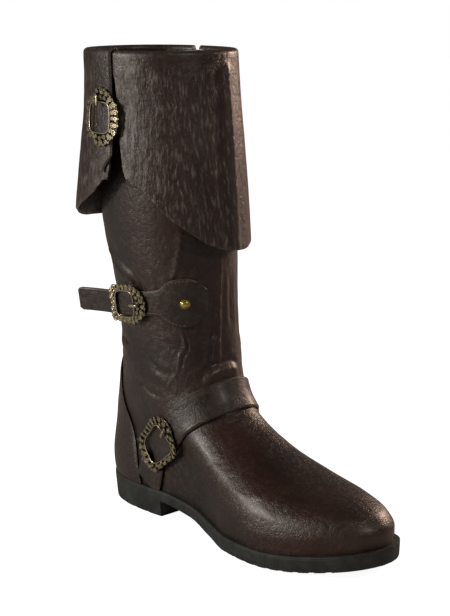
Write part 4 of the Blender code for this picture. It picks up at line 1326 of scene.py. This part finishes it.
@dataclass(frozen=True)
class CuffStrap:
    """The strap that comes over the fold and hangs beside the slit."""

    cuff: Cuff
    width: float = 22 * MM
    hang: float = 94 * MM
    tip: float = 14 * MM
    turn: float = 0.248
    across: int = 22

    def build(self, finish: Material) -> Object:
        """Make the strap as one closed body."""
        cuff = self.cuff
        lift = CLEARANCE + FIT / 2
        face = float(cuff.face(0.0, 0.0))
        middle, reach = (face - 2.0 * MM) / 2, (face + 2.0 * MM) / 2
        path = [(-2.0 * MM - lift, drop, -1.0, 0.0) for drop in np.linspace(10, 1.5, 6) * MM]
        for lean in np.radians(np.linspace(165, 10, 16)):
            out = middle + (reach + lift) * math.cos(lean)
            path.append((out, -(cuff.fold_rise + lift) * math.sin(lean), math.cos(lean), math.sin(lean)))
        path += [(math.nan, drop, 1.0, 0.0) for drop in np.linspace(1.5 * MM, self.hang, 90)]
        out, drop, sideways, upwards = (column[:, None] for column in np.array(path).T)
        ease = np.sin(np.linspace(-math.pi / 2, math.pi / 2, self.across))[None, :] / 2
        taper = np.clip((self.hang - drop) / self.tip, 0.25, 1.0)
        turn = self.turn + ease * taper * self.width / cuff.girth
        seat = np.where(np.isnan(out), cuff.face(turn, drop) + lift, out)
        near = np.minimum((0.5 - np.abs(ease)) * taper * self.width, self.hang - drop)
        rounded = STRAP_LEATHER * (1 - 0.45 * (1 - smooth(0.0, 1.3 * MM, near)))
        rounded -= 0.22 * MM * np.exp(-(((near - 2.4 * MM) / (0.6 * MM)) ** 2))
        low = cuff.point(turn, drop, seat)
        high = cuff.point(turn, drop - upwards * rounded, seat + sideways * rounded)
        rings = np.concatenate((low, high[:, ::-1]), axis=1)
        at_tip = smooth(70 * MM, 92 * MM, drop + 0 * ease)
        worn_and_shaded = 0.6 * (1 - smooth(0.2 * MM, 1.9 * MM, near)) + 0.25 * at_tip
        wear_and_shading = np.concatenate((0 * worn_and_shaded, worn_and_shaded[:, ::-1]), axis=1)
        place = np.stack((ease * self.width + 0 * drop, drop + 0 * ease), -1)
        surface = np.concatenate((place, place[:, ::-1]), axis=1)
        marks = {"wear_and_shading": wear_and_shading, "warmth_and_side_light": 0 * wear_and_shading + 0.3}
        dressing = Dressing(finish, "strap_leather", ("cuff_strap",))
        return add_piece("cuff_pull_strap", rings, capped(*wear_and_shading.shape), dressing, marks, surface)

    def place(self, drop: float, shift: float) -> Lay:
        """Give a function that lays flat points on the strap's face.

        Args:
            drop: how far below the rim their middle is.
            shift: how far behind the strap's middle it is.

        Returns:
            The function, for points given across, up and out of the strap.
        """
        base = CLEARANCE + FIT / 2 + STRAP_LEATHER + CLEARANCE + BUCKLE_SEAT

        def lay(flat: np.ndarray) -> np.ndarray:
            down = drop - flat[:, 1]
            at = self.turn + (flat[:, 0] - shift) / self.cuff.girth
            return self.cuff.point(at, down, self.cuff.face(at, down) + base + flat[:, 2])

        return lay


def new_tree(name: str, sizes: dict[str, str]) -> tuple[NodeTree, Node, dict[str, str]]:
    """Start a Geometry Nodes tree with named inputs.

    Args:
        name: the tree's name.
        sizes: input names with their socket types.

    Returns:
        The tree, its input node and each input's identifier.
    """
    tree = bpy.data.node_groups.new(name, "GeometryNodeTree")
    tree.interface.new_socket("Geometry", in_out="INPUT", socket_type="NodeSocketGeometry")
    keys = {
        label: tree.interface.new_socket(label, in_out="INPUT", socket_type=kind).identifier
        for label, kind in sizes.items()
    }
    tree.interface.new_socket("Geometry", in_out="OUTPUT", socket_type="NodeSocketGeometry")
    return tree, tree.nodes.new("NodeGroupInput"), keys


def close_tree(tree: NodeTree, made: NodeSocket, finish: Material) -> None:
    """End a tree in real geometry with its material."""
    real = node(tree, "GeometryNodeRealizeInstances", None, Geometry=made)
    dressed = node(tree, "GeometryNodeSetMaterial", None, Geometry=real.outputs[0], Material=finish)
    end = tree.nodes.new("NodeGroupOutput")
    tree.links.new(dressed.outputs[0], end.inputs[0])


def stitch_tree(finish: Material) -> tuple[NodeTree, dict[str, str]]:
    """Make the tree that sews a row of stitches along a line."""
    tree, given, keys = new_tree(
        "stitches", {"Pitch": "NodeSocketFloat", "Stitch": "NodeSocketFloat", "Thread": "NodeSocketFloat"}
    )
    line = node(tree, "GeometryNodeMeshToCurve", None, Mesh=given.outputs["Geometry"])
    pitch = given.outputs["Pitch"]
    spots = node(tree, "GeometryNodeCurveToPoints", {"mode": "LENGTH"}, Curve=line.outputs[0], Length=pitch)
    ahead = spots.outputs["Tangent"]
    turned = node(tree, "FunctionNodeAlignRotationToVector", {"axis": "X"}, Vector=ahead)
    bead = node(tree, "GeometryNodeMeshUVSphere", None, Segments=7, Rings=5, Radius=1.0)
    thread = given.outputs["Thread"]
    size = node(tree, "ShaderNodeCombineXYZ", None, X=given.outputs["Stitch"], Y=thread, Z=thread)
    placed = node(
        tree, "GeometryNodeInstanceOnPoints", None, Points=spots.outputs["Points"],
        Instance=bead.outputs["Mesh"], Rotation=turned.outputs[0], Scale=size.outputs[0],
    )
    close_tree(tree, placed.outputs[0], finish)
    return tree, keys


def scroll_tree(finish: Material) -> tuple[NodeTree, dict[str, str]]:
    """Make the tree that casts a row of scrolls and beads along a line."""
    tree, given, keys = new_tree(
        "scrollwork",
        {
            "Count": "NodeSocketInt",
            "Seed": "NodeSocketInt",
            "Scroll": "NodeSocketFloat",
            "Wire": "NodeSocketFloat",
            "Bead": "NodeSocketFloat",
        },
    )
    line = node(tree, "GeometryNodeMeshToCurve", None, Mesh=given.outputs["Geometry"])
    count = given.outputs["Count"]
    spots = node(tree, "GeometryNodeCurveToPoints", {"mode": "COUNT"}, Curve=line.outputs[0], Count=count)
    flat = {"axis": "X", "pivot_axis": "Z"}
    turned = node(tree, "FunctionNodeAlignRotationToVector", flat, Vector=spots.outputs["Tangent"])
    spiral = node(
        tree, "GeometryNodeCurveSpiral", None, Resolution=18, Rotations=1.5, Height=0.0,
        Start_Radius=reckon(tree, "MULTIPLY", given.outputs["Scroll"], 0.22),
        End_Radius=given.outputs["Scroll"],
    )
    index = node(tree, "GeometryNodeInputIndex").outputs[0]
    side = reckon(tree, "MULTIPLY_ADD", reckon(tree, "MODULO", index, 2.0), -2.0, 1.0)
    girth = reckon(tree, "MULTIPLY_ADD", reckon(tree, "MODULO", index, 3.0), 0.12, 0.86)
    size = node(tree, "ShaderNodeCombineXYZ", None, X=girth, Y=reckon(tree, "MULTIPLY", side, girth), Z=1.0)
    seed = given.outputs["Seed"]
    chance = node(tree, "FunctionNodeRandomValue", {"data_type": "FLOAT"}, i2=-1.1, i3=1.1, i8=seed)
    swing = node(tree, "ShaderNodeCombineXYZ", None, X=0.0, Y=0.0, Z=chance.outputs[1])
    loose = node(tree, "FunctionNodeEulerToRotation", None, Euler=swing.outputs[0])
    swung = node(
        tree, "FunctionNodeRotateRotation", None, Rotation=turned.outputs[0], Rotate_By=loose.outputs[0]
    )
    placed = node(
        tree, "GeometryNodeInstanceOnPoints", None, Points=spots.outputs["Points"],
        Instance=spiral.outputs[0], Rotation=swung.outputs[0], Scale=size.outputs[0],
    )
    real = node(tree, "GeometryNodeRealizeInstances", None, Geometry=placed.outputs[0])
    circle = node(
        tree, "GeometryNodeCurvePrimitiveCircle", None, Resolution=6, Radius=given.outputs["Wire"]
    )
    wires = node(
        tree, "GeometryNodeCurveToMesh", None, Curve=real.outputs[0],
        Profile_Curve=circle.outputs[0], Fill_Caps=True,
    )
    ball = node(tree, "GeometryNodeMeshUVSphere", None, Segments=8, Rings=6, Radius=given.outputs["Bead"])
    places = spots.outputs["Points"]
    beads = node(tree, "GeometryNodeInstanceOnPoints", None, Points=places, Instance=ball.outputs["Mesh"])
    joined = tree.nodes.new("GeometryNodeJoinGeometry")
    tree.links.new(wires.outputs[0], joined.inputs[0])
    tree.links.new(beads.outputs[0], joined.inputs[0])
    close_tree(tree, joined.outputs[0], finish)
    return tree, keys


def grow(
    tree: NodeTree, keys: dict[str, str], line: np.ndarray, sizes: dict[str, float], closed: bool
) -> Mesh:
    """Run a tree along a line of points.

    Args:
        tree: the tree.
        keys: the identifiers of its inputs.
        line: the points it follows.
        sizes: a value for each named input.
        closed: join the line's ends.

    Returns:
        The plain mesh that the tree makes.
    """
    base = bpy.data.meshes.new("line")
    count = len(line)
    edges = [(index, (index + 1) % count) for index in range(count if closed else count - 1)]
    base.from_pydata(line.tolist(), edges, [])
    carrier = bpy.data.objects.new("line", base)
    bpy.context.scene.collection.objects.link(carrier)
    modifier = carrier.modifiers.new("grow", "NODES")
    modifier.node_group = tree
    for label, value in sizes.items():
        modifier[keys[label]] = value
    bpy.context.view_layer.update()
    seen = carrier.evaluated_get(bpy.context.evaluated_depsgraph_get())
    made = bpy.data.meshes.new_from_object(seen)
    carrier.modifiers.remove(modifier)
    bpy.data.objects.remove(carrier, do_unlink=True)
    return made


def parts_of(mesh: Mesh) -> tuple[np.ndarray, list]:
    """Give a mesh's points and faces."""
    points = np.empty(len(mesh.vertices) * 3)
    mesh.vertices.foreach_get("co", points)
    return points.reshape(-1, 3), [tuple(face.vertices) for face in mesh.polygons]


# Each row of scrolls: its place from opening to rim, its scroll and height in millimetres, and how many.
SCROLL_ROWS = ((0.36, 1.9, 1.7, 21), (0.76, 2.2, 2.1, 22), (0.92, 1.3, 1.4, 24))


@dataclass(frozen=True)
class Buckle:
    """An openwork cast buckle: a plain wire round the opening, scrolls and beads round that."""

    name: str
    rim: Table
    across: float
    lengthwise: float
    thickness: float = 3.2 * MM
    overhang: float = 3 * MM
    around: int = 180
    wire: float = 0.62 * MM

    def outline(self, share: Values) -> np.ndarray:
        """Give a closed flat line between the opening's edge, at 0, and the rim, at 1."""
        turn = np.linspace(0.0, 2 * math.pi, self.around, endpoint=False)
        cos, sin = np.cos(turn), np.sin(turn)
        square = (np.abs(cos) ** 4 + np.abs(sin) ** 4) ** -0.25
        reach = self.rim.read("reach", np.degrees(turn)) * self.across / 2
        outer = np.stack((reach * cos, reach * sin), -1)
        inner = np.stack((self.across / 2 * cos * square, self.lengthwise / 2 * sin * square), -1)
        return np.concatenate((mix(inner, outer, share), np.zeros((self.around, 1))), axis=1)

    def tube(self, share: float, radius: float, height: float) -> tuple[np.ndarray, list]:
        """Give a round wire that follows the outline."""
        line = self.outline(share)
        ahead = np.roll(line, -1, axis=0) - np.roll(line, 1, axis=0)
        ahead /= np.linalg.norm(ahead, axis=1, keepdims=True)
        side = np.cross(ahead, (0.0, 0.0, 1.0))
        lean = np.linspace(0.0, 2 * math.pi, 10, endpoint=False)[None, :, None]
        rings = line[:, None] + side[:, None] * np.cos(lean) * radius
        rings = rings + np.array((0.0, 0.0, 1.0)) * (np.sin(lean) * radius + height)
        return rings.reshape(-1, 3), grid_faces(self.around, 10, closed_rows=True, closed_columns=True)

    def plate(self) -> tuple[np.ndarray, list]:
        """Give the dark ground under the scrolls, dark with patina and painted shade."""
        rows = [(0.04, 0.0), (0.04, 0.8), (0.3, 1.0), (0.6, 1.0), (0.93, 0.7), (0.93, 0.0)]
        rings = []
        for share, height in rows:
            ring = self.outline(share)
            ring[:, 2] = height * MM
            rings.append(ring)
        faces = grid_faces(len(rows), self.around, closed_rows=True, closed_columns=True)
        return np.concatenate(rings), faces

    def build(
        self, lay: Lay, scrolls: tuple, finish: Material
    ) -> Object:
        """Cast the buckle flat, then lay it on its strap.

        Args:
            lay: puts flat points on the strap.
            scrolls: the scrollwork's tree and its inputs' identifiers.
            finish: the brass.

        Returns:
            The dressed piece.
        """
        tree, keys = scrolls
        castings = [self.plate(), self.tube(0.0, self.wire, 1.5 * MM), self.tube(0.93, 0.55 * MM, 0.9 * MM)]
        sizes = {"Wire": 0.4 * MM, "Bead": 0.5 * MM}
        for share, scroll, height, count in SCROLL_ROWS:
            line = self.outline(share)
            line[:, 2] = height * MM
            sizes.update(Count=count, Seed=count, Scroll=scroll * MM)
            castings.append(parts_of(grow(tree, keys, line, sizes, True)))
        points, faces = joined(castings)
        # Low parts take the dark hollow colour, patina and painted shade; the high scrolls and wires take
        # the bright crest colour.
        wear_and_shading = smooth(0.9 * MM, 2.5 * MM, points[:, 2])
        dressing = Dressing(finish, "antique_brass", (self.name + "_buckle",))
        return add_piece(self.name + "_cast_buckle", lay(points), faces, dressing, {"wear_and_shading": wear_and_shading})

    def build_prong(self, lay: Lay, finish: Material) -> Object:
        """Make the short tongue that rests on the frame."""
        start = self.lengthwise / 2 - self.overhang
        end = (self.lengthwise / 2 + float(self.rim.read("reach", 90)) * self.across / 2) / 2
        along = np.linspace(0.0, 1.0, 16)[:, None]
        lean = np.linspace(0.0, 2 * math.pi, 14, endpoint=False)[None, :]
        blunt = np.sqrt(np.clip(1 - (2 * np.abs(np.linspace(0, 1, 16) - 0.5))[:, None] ** 6, 0.05, 1.0))
        half_width, half_height = 1.36 * MM, 0.9 * MM
        x = half_width * np.cos(lean) * blunt
        y = mix(start, end, along) + 0 * lean
        z = self.thickness + CLEARANCE + half_height * (1 + np.sin(lean) * blunt)
        points = np.stack((x, y, z), -1).reshape(-1, 3)
        dressing = Dressing(finish, "antique_brass", (self.name + "_prong",))
        # Paler on top and darker underneath: painted shade on the underside.
        wear_and_shading = 0.6 + 0.3 * np.sin(lean) + 0 * along
        return add_piece(self.name + "_cast_prong", lay(points), capped(16, 14), dressing, {"wear_and_shading": wear_and_shading})


def joined(bodies: list[tuple[np.ndarray, list]]) -> tuple[np.ndarray, list]:
    """Put several bodies' points and faces in one list each."""
    faces, start = [], 0
    for points, own in bodies:
        faces += [tuple(number + start for number in face) for face in own]
        start += len(points)
    return np.concatenate([points for points, _ in bodies]), faces


@dataclass(frozen=True)
class Snap:
    """The bright snap cap on the strap's round end."""

    radius: float = 3.9 * MM
    height: float = 2.4 * MM

    def build(self, lay: Lay, finish: Material) -> Object:
        """Make the cap with its rolled rim."""
        profile = (
            (1.0, 0.0), (1.04, 0.15), (1.03, 0.32), (0.95, 0.42), (0.84, 0.36), (0.78, 0.4), (0.7, 0.62),
            (0.56, 0.82), (0.38, 0.95), (0.2, 1.0), (0.05, 1.02),
        )
        lean = np.linspace(0.0, 2 * math.pi, 36, endpoint=False)[None, :]
        reach, rise = (column[:, None] for column in np.array(profile).T)
        z = self.height * rise - BUCKLE_SEAT + 0 * lean
        points = np.stack((self.radius * reach * np.cos(lean), self.radius * reach * np.sin(lean), z), -1)
        # Paler towards the top of the cap and darker round its foot: painted shade low down.
        wear_and_shading = 0.5 + 0.5 * rise + 0 * lean
        dressing = Dressing(finish, "snap_brass", ("snap_stud",))
        faces = capped(len(profile), 36)
        return add_piece("snap_cap", lay(points.reshape(-1, 3)), faces, dressing, {"wear_and_shading": wear_and_shading})


@dataclass(frozen=True)
class Stitching:
    """The rows of waxed thread along both edges of a strap."""

    strap: Strap
    pitch: float = 3.2 * MM
    stitch: float = 1.15 * MM
    thread: float = 0.32 * MM
    inset: float = 2.3 * MM

    def build(self, name: str, first: float, last: float, finish: Material) -> None:
        """Sew both edges between two turns."""
        tree, keys = stitch_tree(finish)
        sizes = {"Pitch": self.pitch, "Stitch": self.stitch, "Thread": self.thread}
        turns = np.linspace(first, last, 160)
        edge = 0.5 - self.inset / (self.strap.rows.read("breadth", turns) * self.strap.width)
        for side, sign in (("upper", 1), ("lower", -1)):
            line = self.strap.over(turns, sign * edge, self.strap.thickness - 0.05 * MM)
            sewn = grow(tree, keys, line, sizes, False)
            dress(f"{name}_{side}_stitches", sewn, Dressing(finish, "strap_leather"))


@dataclass(frozen=True)
class Studio:
    """A pale floor, soft plain light and the photograph's camera."""

    azimuth: float = -43.0
    elevation: float = 12.5
    distance: float = 1.220
    aim: tuple[float, float, float] = (-0.0130, -0.0984, 0.190)
    lens: float = 87.1
    sky: float = 0.1
    floor_glow: float = 0.95

    def build_floor(self) -> Object:
        """Lay the floor."""
        made = bpy.data.materials.new("pale floor paint")
        made.use_nodes = True
        shader = made.node_tree.nodes["Principled BSDF"]
        shader.inputs["Base Color"].default_value = linear("#c8c8c8")
        shader.inputs["Roughness"].default_value = 0.9
        shader.inputs["Specular IOR Level"].default_value = 0.1
        shader.inputs["Emission Color"].default_value = (1.0, 1.0, 1.0, 1.0)
        seen = node(made.node_tree, "ShaderNodeLightPath").outputs["Is Camera Ray"]
        glow = reckon(made.node_tree, "MULTIPLY", seen, self.floor_glow)
        made.node_tree.links.new(glow, shader.inputs["Emission Strength"])
        mesh = bpy.data.meshes.new("floor")
        half = 6.0
        corners = [(-half, -half, 0), (half, -half, 0), (half, half, 0), (-half, half, 0)]
        mesh.from_pydata(corners, [], [(0, 1, 2, 3)])
        mesh.materials.append(made)
        floor = bpy.data.objects.new("floor", mesh)
        bpy.context.scene.collection.objects.link(floor)
        return floor

    def add_light(
        self, name: str, place: tuple[float, float, float], power: float, size: float, tone: str
    ) -> None:
        """Hang one soft square light that points at the boot."""
        data = bpy.data.lights.new(name, "AREA")
        data.energy = power
        data.size = size
        data.color = linear(tone)[:3]
        light = bpy.data.objects.new(name, data)
        light.location = place
        light.rotation_euler = (Vector(self.aim) - Vector(place)).to_track_quat("-Z", "Y").to_euler()
        bpy.context.scene.collection.objects.link(light)

    def build_lights(self) -> None:
        """Hang the lights and set the sky."""
        self.add_light("key", (-1.75, 0.7, 0.8), 23.0, 0.3, "#fff8ee")
        self.add_light("side", (-1.8, -0.35, 0.9), 1.2, 0.12, "#fffaf2")
        self.add_light("front", (0.1, -1.9, 1.6), 9.0, 0.1, "#ffefe0")
        self.add_light("rim", (1.8, -0.1, 0.7), 15.0, 0.3, "#ffdcc4")
        world = bpy.data.worlds.new("white room")
        world.use_nodes = True
        tree = world.node_tree
        seen = node(tree, "ShaderNodeLightPath").outputs["Is Camera Ray"]
        strength = node(tree, "ShaderNodeMapRange", None, Value=seen, To_Min=self.sky, To_Max=1.0)
        shader = tree.nodes["Background"]
        shader.inputs["Color"].default_value = (1.0, 1.0, 1.0, 1.0)
        tree.links.new(strength.outputs[0], shader.inputs["Strength"])
        bpy.context.scene.view_settings.view_transform = "Standard"
        bpy.context.scene.world = world

    def build_camera(self) -> None:
        """Set the camera where the photograph was taken from."""
        data = bpy.data.cameras.new("camera")
        data.lens = self.lens
        data.sensor_width = 36.0
        turn, rise = math.radians(self.azimuth), math.radians(self.elevation)
        right = Vector((math.cos(turn), math.sin(turn), 0.0))
        back = Vector((math.sin(turn) * math.cos(rise), -math.cos(turn) * math.cos(rise), math.sin(rise)))
        frame_axes = Matrix((right, back.cross(right), back)).transposed()
        camera = bpy.data.objects.new("camera", data)
        place = Matrix.Translation(Vector(self.aim) + back * self.distance)
        camera.matrix_world = place @ frame_axes.to_4x4()
        bpy.context.scene.collection.objects.link(camera)
        bpy.context.scene.camera = camera


def main() -> None:
    """Dress the boot piece by piece."""
    logging.basicConfig(level=logging.INFO, format="%(name)s: %(message)s", stream=sys.stdout)
    last = Last()
    finishes = Finishes()
    Wall(last).build(finishes.upper)
    Counter(last).build(finishes.upper)
    Sole(last).build(finishes.rubber)
    Footbed(last).build(finishes.footbed)
    cuff = Cuff(last)
    cuff.build(finishes.cuff)
    cuff_strap = CuffStrap(cuff)
    cuff_strap.build(finishes.strap)
    calf = CalfStrap(last, CALF_STRAP, 21 * MM)
    calf.build("calf_snap_strap", 170, Dressing(finishes.strap, "strap_leather", ("calf_strap",)))
    Stitching(calf).build("calf_snap_strap", 0.21, 0.40, finishes.thread)
    ankle = Strap(last, ANKLE_STRAP, 28 * MM)
    ankle.build("instep_strap", 260, Dressing(finishes.strap, "strap_leather", ("ankle_strap",)))
    tab = Strap(last, ANKLE_TAB, 28 * MM)
    tab.build("buckle_tab", 30, Dressing(finishes.strap, "strap_leather", ("ankle_tab",)))
    scrolls = scroll_tree(finishes.brass)
    buckles = (
        (Buckle("cuff", CUFF_RIM, 25 * MM, 25 * MM), cuff_strap.place(50 * MM, 1 * MM)),
        (Buckle("calf", CALF_RIM, 23 * MM, 21 * MM), calf.place(0.226)),
        (Buckle("ankle", ANKLE_RIM, 28 * MM, 38 * MM), ankle.place(0.208)),
    )
    for buckle, lay in buckles:
        buckle.build(lay, scrolls, finishes.brass)
        buckle.build_prong(lay, finishes.brass)
    Snap().build(calf.place(0.398), finishes.snap)
    studio = Studio()
    studio.build_floor()
    studio.build_lights()
    studio.build_camera()


if __name__ == "__main__":
    main()
